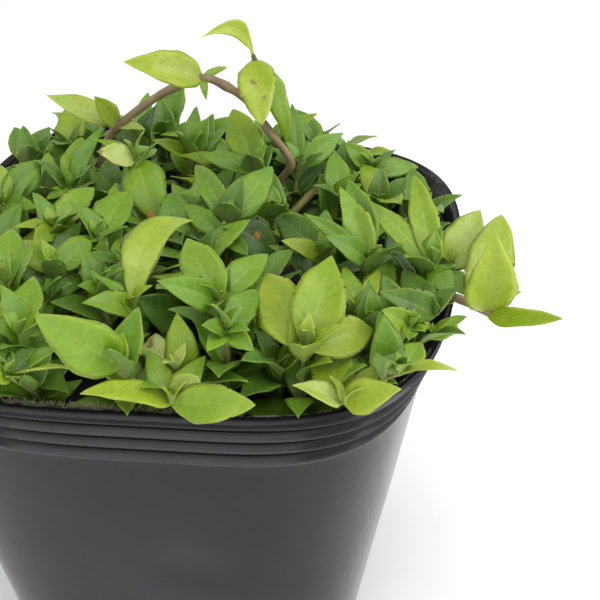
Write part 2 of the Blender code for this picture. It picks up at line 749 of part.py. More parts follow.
def grow_all():
    """Every plant of the pot: the ones the photograph shows, then the creeping ones between them."""
    rng = random.Random(SEED)
    thicket = Thicket()
    soil = soil_top()
    thicket.add("pot", loft(pot_rings(), True))
    thicket.add("soil", soil_skin())
    plants = [
        grow_runner(thicket, "runner", [RUNNER_ROUTE, RUNNER_CROWN_ROUTE], RUNNER_LEAVES),
        grow_runner(thicket, "side_shoot", [SIDE_ROUTE], SIDE_LEAVES),
    ]
    plants += [grow_runner(thicket, name, [route], []) for name, route in OLD_STEMS.items()]
    routes = {}
    for name, shoot in SHOOTS.items():
        routes[name] = plant_stem(soil, thicket, name, at_height(shoot.top, shoot.height))
    for name, shoot in SHOOTS.items():
        if routes[name]:
            top = at_height(shoot.top, shoot.height)
            blades = [settle(thicket, name, blade_from(top, spec)) for spec in shoot.leaves]
            plants.append(Plant(name, [routes[name]], STEM_RADIUS, [blade for blade in blades if blade]))
    planted = [tuple(route[0].xy) for plant in plants for route in plant.routes]
    places = fill_places(rng)
    number = 0
    while places and len(plants) < NODE_LIMIT - 2:
        start = emptiest(places, planted)
        places.remove(start)
        creeper = grow_creeper(rng, soil, thicket, f"creeper_{number + 1:02d}", start)
        if creeper:
            plants.append(creeper)
            planted += [tuple(upright[0].xy) for upright in creeper.routes[1:]]
            number += 1
    return plants


def material(name, colour, roughness):
    made = bpy.data.materials.new(name)
    made.use_nodes = True
    shader = made.node_tree.nodes["Principled BSDF"]
    shader.inputs["Base Color"].default_value = (*colour, 1)
    shader.inputs["Roughness"].default_value = roughness
    return made


def add_object(name, mesh, collection, colour):
    mesh.materials.clear()
    mesh.materials.append(colour)
    made = bpy.data.objects.new(name, mesh)
    collection.objects.link(made)
    return made


def mesh_from(name, verts, faces):
    """A mesh in metres from a shape in millimetres, with its faces turned outwards."""
    mesh = bpy.data.meshes.new(name)
    mesh.from_pydata([Vector(vert) * MM for vert in verts], [], faces)
    close_up(mesh)
    return mesh


def close_up(mesh):
    """Welds coinciding points, splits every face into triangles and turns them outwards."""
    shape = bmesh.new()
    shape.from_mesh(mesh)
    bmesh.ops.remove_doubles(shape, verts=shape.verts, dist=WELD)
    bmesh.ops.triangulate(shape, faces=shape.faces)
    bmesh.ops.recalc_face_normals(shape, faces=shape.faces)
    shape.to_mesh(mesh)
    shape.free()


def stem_mesh(name, route, radius, collection):
    """A closed stem from a curve with a round bevel and filled caps."""
    curve = bpy.data.curves.new(name, "CURVE")
    curve.dimensions = "3D"
    curve.bevel_depth = radius * MM
    curve.bevel_resolution = STEM_ROUNDNESS
    curve.use_fill_caps = True
    spline = curve.splines.new("POLY")
    spline.points.add(len(route) - 1)
    for point, place in zip(spline.points, route):
        point.co = (*(Vector(place) * MM), 1)
    guide = bpy.data.objects.new(name, curve)
    collection.objects.link(guide)
    mesh = bpy.data.meshes.new_from_object(guide.evaluated_get(bpy.context.evaluated_depsgraph_get()))
    bpy.data.objects.remove(guide)
    bpy.data.curves.remove(curve)
    close_up(mesh)
    return mesh


def fuse(body, pieces, operation):
    """Applies a Boolean of each piece to the body in turn, and removes the pieces."""
    helpers = []
    for number, mesh in enumerate(pieces):
        helper = bpy.data.objects.new(f"{body.name} piece {number}", mesh)
        bpy.context.scene.collection.objects.link(helper)
        boolean = body.modifiers.new(f"Fuse {number}", "BOOLEAN")
        boolean.operation = operation
        boolean.solver = "MANIFOLD"
        boolean.object = helper
        helpers.append(helper)
    bpy.context.view_layer.update()
    mesh = bpy.data.meshes.new_from_object(body.evaluated_get(bpy.context.evaluated_depsgraph_get()))
    body.modifiers.clear()
    body.data = mesh
    for helper in helpers:
        bpy.data.objects.remove(helper)
    keep_largest(mesh)


def keep_largest(mesh):
    """Drops the specks and inner pockets that a union of many thin solids can leave."""
    shape = bmesh.new()
    shape.from_mesh(mesh)
    unseen, islands = set(shape.verts), []
    while unseen:
        found, edge = set(), [unseen.pop()]
        while edge:
            vert = edge.pop()
            found.add(vert)
            near = {link.other_vert(vert) for link in vert.link_edges} & unseen
            unseen -= near
            edge.extend(near)
        islands.append(found)
    largest = max(islands, key=len)
    bmesh.ops.delete(shape, geom=[vert for vert in shape.verts if vert not in largest], context="VERTS")
    shape.to_mesh(mesh)
    shape.free()


def drain_cutter(turn):
    """A short upright drum through the base."""
    shape = bmesh.new()
    bmesh.ops.create_cone(
        shape, cap_ends=True, segments=12, radius1=DRAIN_RADIUS, radius2=DRAIN_RADIUS, depth=4 * FLOOR
    )
    centre = Vector((math.cos(turn), math.sin(turn), 0)) * DRAIN_RING
    bmesh.ops.translate(shape, verts=shape.verts, vec=centre)
    bmesh.ops.scale(shape, verts=shape.verts, vec=(MM, MM, MM))
    mesh = bpy.data.meshes.new("drain hole")
    shape.to_mesh(mesh)
    shape.free()
    return mesh


def build_pot(collection):
    mesh = mesh_from("pot", *loft(pot_rings(), True))
    pot = add_object("pot", mesh, collection, material("Black plastic", (0.03, 0.031, 0.034), 0.42))
    turns = [math.tau * (hole + 0.5) / DRAIN_COUNT for hole in range(DRAIN_COUNT)]
    fuse(pot, [drain_cutter(turn) for turn in turns], "DIFFERENCE")
    return pot


def build_soil(collection):
    mesh = mesh_from("soil", *soil_skin())
    return add_object("soil", mesh, collection, material("Soil", (0.028, 0.021, 0.016), 0.95))


def build_plant(plant, collection, colour):
    """The stems and leaves of one plant as a single solid."""
    stems = [stem_mesh(plant.name, route, plant.radius, collection) for route in plant.routes]
    body = add_object(plant.name, stems[0], collection, colour)
    leaves = [mesh_from("leaf", *blade_solid(blade)) for blade in plant.blades]
    fuse(body, stems[1:] + leaves, "UNION")
    return body


def build():
    for leftover in list(bpy.data.objects):
        bpy.data.objects.remove(leftover)
    collection = bpy.data.collections.new("Staurogyne repens in a pot")
    bpy.context.scene.collection.children.link(collection)
    build_pot(collection)
    build_soil(collection)
    green = material("Leaf green", (0.16, 0.33, 0.045), 0.45)
    brown = material("Runner brown", (0.12, 0.075, 0.04), 0.55)
    for plant in grow_all():
        build_plant(plant, collection, brown if plant.name == "runner" else green)


build()
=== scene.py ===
"""Staurogyne repens in its nursery pot: fine leaves, stems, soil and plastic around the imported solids."""

import math
import random
from collections import namedtuple

import bpy
import bmesh
import numpy as np
from mathutils import Matrix, Vector, noise
from mathutils.bvhtree import BVHTree


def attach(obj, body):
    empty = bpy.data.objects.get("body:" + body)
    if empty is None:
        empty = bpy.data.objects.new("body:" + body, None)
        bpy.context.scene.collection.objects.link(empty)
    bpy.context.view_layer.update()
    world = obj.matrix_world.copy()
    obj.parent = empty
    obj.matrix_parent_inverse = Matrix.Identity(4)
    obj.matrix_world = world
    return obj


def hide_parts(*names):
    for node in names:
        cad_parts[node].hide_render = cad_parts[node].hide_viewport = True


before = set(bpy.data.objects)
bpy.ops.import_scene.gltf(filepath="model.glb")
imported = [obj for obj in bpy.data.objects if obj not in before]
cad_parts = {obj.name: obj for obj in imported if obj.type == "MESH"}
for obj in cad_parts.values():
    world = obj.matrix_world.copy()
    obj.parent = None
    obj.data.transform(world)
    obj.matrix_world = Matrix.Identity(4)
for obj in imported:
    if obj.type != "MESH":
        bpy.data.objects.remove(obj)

# Driving dimensions in millimetres
MM = 0.001
POT_HALF = 52.5
POT_HEIGHT = 90.0
POT_DEPTH_RATIO = 1.041
FOOT_SHARE = 0.695
FOOT_ROUND = 2.0
FOOT_ROUND_SHARE = 0.015
WALL = 0.9
FLOOR = 1.5
CORNER_POWER_FOOT = 3.35
CORNER_POWER_LIP = 3.7
WALL_WOBBLE = 0.029
POT_SIDES = 32
CORNER_CROWDING = 0.12
GAP = 0.3
ON_AXIS = 0.01

# The ribs under the lip, from the lip down
LIP_BEAD = 0.5
LIP_STEP = 0.9
FIRST_RIB = 2.55
RIB_HEIGHT = 3.55
RIB_STEP = 2.0
RIB_FLARE = 0.8
RIB_COUNT = 4
STEP_HEIGHT = 0.4
LAST_STEP = 0.6
BAND_BACKING = 1.6

# Drain holes around the solid middle of the base
DRAIN_COUNT = 6
DRAIN_RADIUS = 3.5
DRAIN_RING = 21.0

SOIL_GAP = 0.5
SOIL_LEVEL = 80.0
SOIL_LUMP = 1.2
SOIL_RINGS = (1.0, 0.75, 0.5, 0.25)

# Leaf solids
LEAF_THICKNESS = 0.8
LONG_LEAF = 14.5
LEAF_FOLD = math.radians(16)
WIDEST_POWER = 0.78
STALK_SHARE = 0.16
OUTLINE_POWER = 0.92
LEVEL_LEAST = 0.2
STEM_RADIUS = 0.75
RUNNER_RADIUS = 1.0
FOOT_CLEARANCE = 0.9
CLEARANCE = 0.4
OUTER_FROM = 0.35
STEM_TEST_SIDES = 6
TUBE_REFERENCE = Vector((0.3, 1.0, 0.2))
TOP_STUB = 0.8
STEM_BEND = 0.3
FOOT_PULL = 0.95
FOOT_MARGIN = 2.5
FOOT_STEP = 0.02
FOOT_PULLS = (1.0, 0.92, 0.84, 0.76)
FOOT_SHIFTS = ((0, 0), (4, 0), (-4, 0), (0, 4), (0, -4))

# How a leaf that meets something gives way: turns and lifts in degrees, and shares of its size
TURNS = (0, 7, -7, 14, -14, 22, -22)
LIFTS = (0, 7, -7, 14, -14, 21)
SCALES = (1.0, 0.9, 0.8, 0.65)
SLIM_LEAST = 0.4

# The photograph's camera, which the pixel positions below are read through
PHOTO_MIDDLE = 300
PHOTO_FOCAL = 1250.0
PHOTO_TURN = math.radians(10.03)
PHOTO_TILT = 0.575
PHOTO_RANGE = 257.8
PHOTO_AIM = Vector((21.93, 3.88, 77.14))

# Fill between the shoots that the photograph shows
SEED = 11
FILL_PITCH = 8.0
FILL_JITTER = 2.0
FILL_KEEP_OFF = 4.0
FILL_HEIGHT = 10.0
FILL_BACK_RISE = -2.0
FILL_LENGTH = 12.5
FILL_SLIMNESS = 0.48
FILL_DROOP = 0.1
TOP_STEEPNESS = 20
PAIR_TWIST = 0.25
PAIR_RISE = (5, 25)
PAIR_SIZES = (0.85, 1.15)
CREEPER_STEPS = 5
CREEPER_PITCH = 9.0
CREEPER_TRIES = 20
CREEPER_TAIL = 1.5
CREEPER_LIFT = 1.8
CREEPER_BEND = 0.8
UPRIGHT_SPREAD = 1.05
UPRIGHT_LEAN = 1.5
HEIGHT_SPREAD = 2.0
NODE_LIMIT = 60

# Fine leaves and stems
LOOK_SEED = 5
ROWS_PER_MM = 1.5
LEAF_ROWS = (9, 26)
LEAF_COLUMNS = 8
WIDEST_POWERS = (0.72, 0.88)
TAPER_POWERS = (0.76, 1.02)
TIP_WIDTH = 0.05
FOLDS = (math.radians(9), math.radians(31))
FOLD_SKEW = 0.35
FOLD_SOFTNESS = 0.02
ARCHES = (0.0, 0.26)
WAVES = (1.0, 2.2)
EDGE_WAVES = (0.05, 0.17)
EDGE_UNEVENNESS = 0.03
TWIST = 0.6
RECURVE = (-0.05, 0.12)
VEIN_SLANT = 0.9
VEIN_PITCH_LEAST = 1.4
VEIN_COUNT = 6.5
QUILT = 0.2
BLADE_THICKNESS = 0.2
RIB_DEPTH = 0.3
RIB_WIDTH = 0.3
BUDS = ((5.0, 58), (2.6, 72))
BUD_SIZES = (0.6, 1.25)
BUD_SPREAD = 12
BUD_SLIMNESS = 0.5
BUD_TONE_RISE = 0.05
LOW_PAIRS = ((0.1, 10.5, 12), (0.3, 10.0, 16), (0.56, 11.5, 26), (0.82, 10.5, 40))
LOW_TURNS = (0, 16, -16, 32, -32)
LOW_LIFTS = (0, 14, -14)
LOW_SCALES = (1.0, 0.8, 0.62)
LOW_TONE_SHARE = 0.65
FILL_TONES = (0.2, 0.72)
TONE_SPREAD = 0.13
STEM_STEP = 0.9
STEM_SIDES = 10
STEM_SINK = 3.0
NODE_SWELLING = 0.22
STEM_RIPPLE = 0.035

# Radius in millimetres, share of it at the end, and tone of each drawn stem
THICK_STEMS = {
    "runner": ((0.92, 0.8, 0.78), (0.6, 0.7, 0.95)),
    "side_shoot": ((0.9, 0.75, 0.72),),
    "old_stem_left": ((0.85, 0.9, 0.36),),
    "old_stem_right": ((0.98, 0.9, 0.34),),
}
THIN_STEM = (0.62, 0.7, 0.62)
FINE_STEM = (0.55, 0.6, 0.2)

# Fine pot and soil
FINE_SIDES = 192
WALL_ROW = 2.6
RIB_ROWS = 11
RIB_EDGE = 0.85
RIB_CURVE = 2.8
COVES = (0.6, 1.1, 1.3, 1.0)
COVE_HEIGHT = 0.85
EDGE_ROUND = 0.45
SHARPEST_KEPT = -0.9
# Shares of each rib that get painted shade at its root and a painted highlight at its edge
GROOVE_SHADE_PLACE = (0.3, 0.55)
GROOVE_SHADE_FROM = 0.54
EDGE_HIGHLIGHT_PLACE = (0.13, 0.32)
WALL_WAVES = ((2, 1.0, 0.0, 0.25), (5, 0.0, 3.1, 0.18), (9, 0.0, -2.0, 0.1))
DENTS = (
    (-1.35, 46, 0.16, 5, -0.5),
    (-0.35, 44, 0.2, 9, 0.12),
    (2.6, 50, 0.3, 12, -0.4),
    (1.4, 38, 0.25, 9, -0.45),
)
SOIL_FINE_RINGS = 44
CRUMBS = 620
CRUMB_SIZES = (0.35, 1.7)
ROOT_HAIRS = 1100
ROOT_TURNS = (-2.6, -1.2)
ROOT_CROWDING = 1.7
ROOT_DROPS = (0.1, 1.2)
ROOT_LENGTHS = (0.5, 1.5)
ROOT_RADIUS = 0.06

# Colours by tone: deep green to yellow-green, green to brown, and peat
LEAF_STOPS = (
    (0.0, (0.03, 0.075, 0.008)),
    (0.4, (0.13, 0.26, 0.012)),
    (0.68, (0.23, 0.335, 0.01)),
    (0.85, (0.32, 0.405, 0.03)),
    (1.0, (0.46, 0.52, 0.16)),
)
STEM_STOPS = (
    (0.0, (0.13, 0.2, 0.05)),
    (0.36, (0.33, 0.31, 0.09)),
    (0.66, (0.33, 0.25, 0.13)),
    (1.0, (0.15, 0.1, 0.055)),
)
COOL_LEAF = (0.09, 0.25, 0.05, 1)
PALE_LEAF = (0.42, 0.52, 0.13, 1)
UNDER_LEAF = (0.33, 0.42, 0.15, 1)
DEEP_LEAF = (0.035, 0.09, 0.01, 1)
SPOT = (0.5, 0.17, 0.02, 1)
BURN = (0.17, 0.1, 0.045, 1)
BARK = (0.06, 0.04, 0.02, 1)
PLASTIC = (0.006, 0.006, 0.0075, 1)
# Painted shade for the roots of the ribs
GROOVE_PAINTED_SHADE = (0.002, 0.002, 0.0025, 1)
PLASTIC_WORN = (0.011, 0.0112, 0.013, 1)
# Painted highlight for the lower edges of the ribs
RIB_PAINTED_HIGHLIGHT = (0.036, 0.036, 0.04, 1)
DRIED_DIRT = (0.2, 0.19, 0.16, 1)
ROOT = (0.23, 0.23, 0.17, 1)
SCUFFED = (0.1, 0.075, 0.055, 1)
SCUFF_PLACE = (0.0475, 0.037, 0.0895)
SOIL_STOPS = ((0.3, (0.004, 0.003, 0.0025)), (0.55, (0.013, 0.009, 0.0065)), (0.75, (0.045, 0.031, 0.02)))

# The tone of each drawn leaf, in the order in which its plant lists its leaves
LEAF_TONES = {
    "shoot_big_leaf": (0.55, 0.8), "shoot_tall_fold": (0.8, 0.5), "shoot_v_pair": (0.36, 0.42, 0.4),
    "shoot_oval": (0.5, 0.3), "shoot_shadow": (0.1, 0.06), "shoot_centre": (0.56, 0.54, 0.35),
    "shoot_rosette": (0.42, 0.3, 0.45, 0.5, 0.5), "shoot_twin_gold": (0.78, 0.7, 0.8, 0.7),
    "shoot_front_rosette": (0.66, 0.85, 0.82, 0.8, 0.6), "shoot_right_front": (0.3, 0.55, 0.85, 0.3),
    "shoot_spear": (0.45, 0.5), "shoot_gold_spear": (0.8, 0.55), "shoot_spotted": (0.65, 0.5, 0.4),
    "shoot_rim_spear": (0.6, 0.45), "shoot_dark_pair": (0.15, 0.2), "shoot_lances": (0.68, 0.6, 0.4, 0.2),
    "shoot_edge_twin": (0.8, 0.12, 0.55), "shoot_spires": (0.36, 0.55, 0.42, 0.25, 0.6),
    "shoot_dark_gold": (0.16, 0.76), "shoot_back_centre": (0.4, 0.36, 0.4, 0.1),
    "shoot_small_oval": (0.5, 0.4), "shoot_blue": (0.38, 0.3), "shoot_blue_back": (0.35,),
    "shoot_orange_spot": (0.54, 0.92, 0.5), "shoot_olive": (0.5, 0.6),
    "shoot_left_fold": (0.55, 0.5, 0.65, 0.7),
    "shoot_left_lance": (0.5, 0.45, 0.3), "shoot_far_left": (0.34, 0.4, 0.75), "shoot_back_left": (0.3, 0.3),
    "shoot_left_oval": (0.68, 0.45), "shoot_left_small": (0.35, 0.4, 0.3),
    "shoot_left_broad": (0.6, 0.5, 0.45),
    "shoot_left_pale": (0.5, 0.6), "shoot_left_strip": (0.86, 0.5, 0.15, 0.7),
    "shoot_lip_rosette": (0.6, 0.52, 0.5, 0.85, 0.8), "shoot_gold_curl": (1.0, 0.66),
    "shoot_back_spear": (0.3, 0.7, 0.65, 0.35), "shoot_back_tall": (0.58, 0.4), "shoot_back_blue": (0.3,),
    "shoot_back_right": (0.36, 0.3), "shoot_far_back": (0.55, 0.45),
    "runner": (0.92, 0.6, 0.5, 0.85, 0.8, 0.92, 0.88, 0.85, 0.6), "side_shoot": (0.88, 0.84, 0.78, 0.6),
}

# Orange spots (0) and brown burns (1) on leaves: share of the length, side, and radius in millimetres
MARKS = {
    ("shoot_orange_spot", 0): ((0, 0.86, 0.25, 0.9), (1, 0.3, 0.5, 0.4)),
    ("shoot_orange_spot", 1): ((1, 1.0, 0.0, 1.3), (0, 0.7, -0.9, 0.8)),
    ("shoot_back_centre", 3): ((0, 0.5, -0.25, 0.6), (0, 0.62, 0.1, 0.4)),
    ("shoot_spotted", 0): ((1, 0.5, 0.1, 0.4),),
    ("shoot_left_oval", 1): ((1, 0.96, 0.6, 1.2),),
    ("shoot_left_fold", 0): ((1, 0.1, 0.9, 1.0),),
    ("shoot_gold_curl", 0): ((1, 0.55, 0.0, 0.9), (1, 0.62, 0.3, 0.7)),
    ("shoot_gold_spear", 0): ((1, 0.12, 0.0, 2.2),),
    ("shoot_twin_gold", 1): ((1, 0.55, 0.5, 0.35),),
    ("shoot_front_rosette", 0): ((1, 0.02, -0.5, 1.4),),
    ("shoot_tall_fold", 0): ((1, 0.72, 0.6, 0.35),),
    ("side_shoot", 0): ((1, 0.25, 0.3, 0.35), (1, 0.02, 0.9, 0.9)),
    ("runner", 7): ((1, 0.45, 0.2, 0.8), (1, 0.7, -0.3, 0.6)),
    ("runner", 0): ((1, 0.03, 0.0, 0.8),),
}

# Camera, floor and light
SENSOR = 36.0
FLOOR_SIZE = 6.0
WORLD_STRENGTHS = (1.25, 0.42)
WORLD_FADE_TOP = 0.7
FLOOR_SHADES = ((0.98, 0.98, 0.98, 1), (1, 1, 1, 1))
LAMPS = (
    ("Overhead", (0.1, -0.2, 0.98), (0, 0, 0.08), (0.8, 0.8), 4.6),
    ("Right", (0.75, 0.0, 0.6), (0, 0, 0.05), (0.6, 0.6), 4.6),
    ("Left", (-0.85, 0.1, 0.4), (0, 0, 0.08), (0.5, 0.7), 1.0),
    ("Front", (0.0, -0.92, 0.34), (0, 0, 0.08), (1.0, 0.34), 2.0),
)

Leaf = namedtuple("Leaf", "tip length width lean face droop sweep tone")
Shoot = namedtuple("Shoot", "top height leaves")
Blade = namedtuple("Blade", "base tip normal length width droop sweep tone", defaults=(0.4,))
Plant = namedtuple("Plant", "name routes radius blades")


def leaf(tip, length, width, lean=-1, face=0.5, droop=0.08, sweep=0.0, tone=0.4):
    """One leaf by the pixel of its tip; lean +1 comes towards the camera, face 1 is turned square to it."""
    return Leaf(tip, length, width, lean, face, droop, sweep, tone)


# The shoots that the photograph shows: the pixel and height of the top, then the leaves it carries
SHOOTS = {
    "shoot_big_leaf": Shoot((122, 367), 96, [
        leaf((38, 317), 18, 9, 1, 0.9),
        leaf((140, 345), 8, 4, -1, 0.3),
    ]),
    "shoot_tall_fold": Shoot((133, 310), 98, [
        leaf((194, 224), 24, 7, -1, 0.6, 0.2, -0.16),
        leaf((86, 301), 11, 5, 1, 0.6),
    ]),
    "shoot_v_pair": Shoot((102, 292), 98, [
        leaf((91, 256), 9, 4.6, -1, 0.7),
        leaf((139, 260), 10, 4.2, -1, 0.5),
        leaf((78, 286), 6, 3.4, 1, 0.5),
    ]),
    "shoot_oval": Shoot((126, 264), 98, [
        leaf((118, 235), 8, 5, -1, 0.8),
        leaf((143, 257), 5, 2.5, -1, 0.3),
    ]),
    "shoot_shadow": Shoot((184, 322), 91, [
        leaf((138, 298), 12, 8, 1, 0.8),
        leaf((170, 350), 9, 6, 1, 0.6),
    ]),
    "shoot_centre": Shoot((217, 302), 101, [
        leaf((186, 236), 15, 7.5, -1, 0.9),
        leaf((270, 249), 15, 5.5, -1, 0.7),
        leaf((162, 281), 13, 5.8, 1, 0.8),
    ]),
    "shoot_rosette": Shoot((226, 332), 100, [
        leaf((243, 287), 11, 5.6, -1, 0.9),
        leaf((202, 325), 7, 3.4, 1, 0.6),
        leaf((248, 328), 6, 3.2, 1, 0.3),
        leaf((247, 348), 7, 3.6, 1, 0.5),
        leaf((207, 352), 7, 3.2, 1, 0.4),
    ]),
    "shoot_twin_gold": Shoot((306, 348), 98, [
        leaf((246, 282), 18, 9, -1, 0.9),
        leaf((332, 254), 18, 9.2, -1, 1.0),
        leaf((376, 328), 14, 7.5, -1, 0.8),
        leaf((344, 323), 8, 2.4, 1, 0.3),
    ]),
    "shoot_front_rosette": Shoot((343, 402), 92, [
        leaf((313, 338), 14.5, 7.2, -1, 0.8),
        leaf((296, 384), 10, 4.4, 1, 0.6),
        leaf((397, 389), 10.5, 6, 1, 0.8),
        leaf((396, 370), 11, 3.6, -1, 0.4),
        leaf((362, 384), 6, 3.6, -1, 0.6),
    ]),
    "shoot_right_front": Shoot((398, 374), 97, [
        leaf((379, 311), 12, 4.4, -1, 0.9),
        leaf((423, 339), 8.5, 4.6, -1, 0.8),
        leaf((456, 368), 11, 2.4, 1, 0.2, 0.1),
        leaf((406, 358), 4, 2.4, 1, 0.6),
    ]),
    "shoot_spear": Shoot((372, 326), 96, [
        leaf((378, 294), 7, 4, -1, 0.8),
        leaf((395, 345), 6, 3, 1, 0.4),
    ]),
    "shoot_gold_spear": Shoot((359, 318), 95, [
        leaf((380, 266), 12, 3, -1, 0.7),
        leaf((357, 266), 11, 4, -1, 0.6),
    ]),
    "shoot_spotted": Shoot((409, 328), 98, [
        leaf((382, 310), 7, 4.2, 1, 0.7),
        leaf((429, 315), 7, 5, -1, 0.8),
        leaf((397, 338), 5, 3, 1, 0.4),
    ]),
    "shoot_rim_spear": Shoot((429, 338), 94, [
        leaf((459, 325), 8, 3.2, -1, 0.6),
        leaf((450, 312), 9, 2.6, -1, 0.4),
    ]),
    "shoot_dark_pair": Shoot((434, 316), 97, [
        leaf((403, 271), 13, 5.6, -1, 0.8),
        leaf((385, 292), 13, 5.6, 1, 0.8),
    ]),
    "shoot_lances": Shoot((432, 266), 99, [
        leaf((414, 177), 20, 5.4, -1, 0.9),
        leaf((389, 190), 19, 5, -1, 0.8),
        leaf((450, 296), 8, 5, 1, 0.7),
        leaf((420, 232), 8, 4.4, -1, 0.7),
    ]),
    "shoot_edge_twin": Shoot((447, 269), 97, [
        leaf((480, 211), 14.5, 8, -1, 1.0),
        leaf((484, 252), 9, 3.8, -1, 0.5),
        leaf((463, 300), 7, 4.2, 1, 0.7),
    ]),
    "shoot_spires": Shoot((369, 262), 99, [
        leaf((358, 178), 18, 6, -1, 0.9),
        leaf((346, 194), 15, 5.4, -1, 0.8),
        leaf((307, 209), 14, 3.6, 1, 0.7),
        leaf((329, 236), 11, 5, 1, 0.7),
        leaf((415, 247), 10, 2, -1, 0.1),
    ]),
    "shoot_dark_gold": Shoot((322, 258), 97, [
        leaf((276, 212), 14, 7, -1, 0.8),
        leaf((283, 240), 9, 4, 1, 0.6),
    ]),
    "shoot_back_centre": Shoot((229, 222), 100, [
        leaf((272, 167), 16, 7, -1, 0.9),
        leaf((195, 162), 16, 4.6, -1, 0.8),
        leaf((256, 204), 6, 2.6, 1, 0.6),
        leaf((274, 262), 11, 8, 1, 0.6),
    ]),
    "shoot_small_oval": Shoot((274, 216), 97, [
        leaf((264, 190), 7, 3.8, -1, 0.9),
        leaf((292, 213), 5, 2.4, 1, 0.4),
    ]),
    "shoot_blue": Shoot((226, 240), 98, [
        leaf((184, 204), 12, 4.6, -1, 0.8),
        leaf((248, 255), 7, 3.6, 1, 0.4),
    ]),
    "shoot_blue_back": Shoot((203, 226), 95, [
        leaf((176, 194), 9, 6, -1, 0.9),
    ]),
    "shoot_orange_spot": Shoot((136, 161), 103, [
        leaf((160, 224), 15, 9, 1, 1.0, 0.12),
        leaf((96, 152), 9.5, 5.2, 1, 0.7),
        leaf((156, 146), 8, 4, -1, 0.4),
    ]),
    "shoot_olive": Shoot((98, 240), 98, [
        leaf((130, 188), 15, 7, -1, 0.8),
        leaf((58, 249), 10, 3, 1, 0.3),
    ]),
    "shoot_left_fold": Shoot((55, 229), 97, [
        leaf((94, 185), 13.5, 6, -1, 0.7),
        leaf((36, 192), 9, 3, -1, 0.6),
        leaf((14, 226), 9, 3, 1, 0.4),
        leaf((20, 240), 9, 5, 1, 0.5),
    ]),
    "shoot_left_lance": Shoot((72, 190), 97, [
        leaf((82, 137), 13, 5.8, -1, 0.9),
        leaf((46, 200), 8, 3, 1, 0.5),
        leaf((83, 127), 15, 4, -1, 0.4),
    ]),
    "shoot_far_left": Shoot((4, 205), 97, [
        leaf((42, 160), 13, 6.6, -1, 0.8),
        leaf((37, 208), 8, 4, 1, 0.6),
        leaf((0, 165), 10, 5, -1, 0.6),
    ]),
    "shoot_back_left": Shoot((28, 162), 95, [
        leaf((14, 127), 9.5, 5, -1, 0.8),
        leaf((50, 128), 9.5, 4.4, -1, 0.8),
    ]),
    "shoot_left_oval": Shoot((54, 273), 98, [
        leaf((16, 240), 10.5, 5, -1, 0.8),
        leaf((92, 241), 10, 5.4, -1, 0.7),
    ]),
    "shoot_left_small": Shoot((48, 300), 95, [
        leaf((86, 275), 9.5, 4, -1, 0.6),
        leaf((50, 272), 7, 4.4, -1, 0.7),
        leaf((30, 334), 9, 5, 1, 0.5),
    ]),
    "shoot_left_broad": Shoot((20, 337), 97, [
        leaf((33, 275), 12.5, 6.4, -1, 0.9),
        leaf((-6, 300), 9, 5.6, -1, 0.8),
        leaf((42, 330), 6, 3, -1, 0.3),
    ]),
    "shoot_left_pale": Shoot((8, 285), 99, [
        leaf((11, 226), 13, 6, -1, 0.8),
        leaf((-22, 262), 9, 5, -1, 0.6),
    ]),
    "shoot_left_strip": Shoot((10, 377), 95, [
        leaf((74, 367), 12, 3, 1, -0.3),
        leaf((4, 346), 7, 3, -1, 0.6),
        leaf((34, 346), 8, 5.4, -1, 0.6),
        leaf((-20, 372), 7, 4, 1, 0.5),
    ]),
    "shoot_lip_rosette": Shoot((172, 403), 92, [
        leaf((255, 405), 14.5, 6.6, 1, 0.9),
        leaf((147, 348), 11, 4.2, -1, 0.7),
        leaf((205, 354), 10, 4.6, -1, 0.7),
        leaf((199, 372), 7.5, 5, 1, -0.7),
        leaf((84, 386), 15, 5.6, 1, 0.2),
    ]),
    "shoot_gold_curl": Shoot((178, 372), 94, [
        leaf((118, 350), 13, 4.6, -1, 0.5, 0.22),
        leaf((184, 334), 8, 4, -1, 0.6),
    ]),
    "shoot_back_spear": Shoot((191, 158), 94, [
        leaf((196, 103), 13.5, 4, -1, 0.9),
        leaf((152, 140), 10.5, 3.6, 1, 0.6),
        leaf((216, 138), 8, 1.8, -1, 0.3),
        leaf((208, 118), 9, 5, -1, 0.8),
    ]),
    "shoot_back_tall": Shoot((256, 172), 98, [
        leaf((232, 106), 16.5, 7.6, -1, 1.0),
        leaf((202, 154), 11, 4.6, 1, 0.6),
    ]),
    "shoot_back_blue": Shoot((141, 142), 95, [
        leaf((148, 92), 12.5, 4, -1, 0.8),
    ]),
    "shoot_back_right": Shoot((298, 168), 96, [
        leaf((343, 133), 13, 5.4, -1, 0.8),
        leaf((292, 103), 15, 4, -1, 0.7),
    ]),
    "shoot_far_back": Shoot((372, 172), 93, [
        leaf((346, 142), 8.5, 4.6, -1, 0.7),
        leaf((420, 165), 12, 4.8, -1, 0.7),
    ]),
}

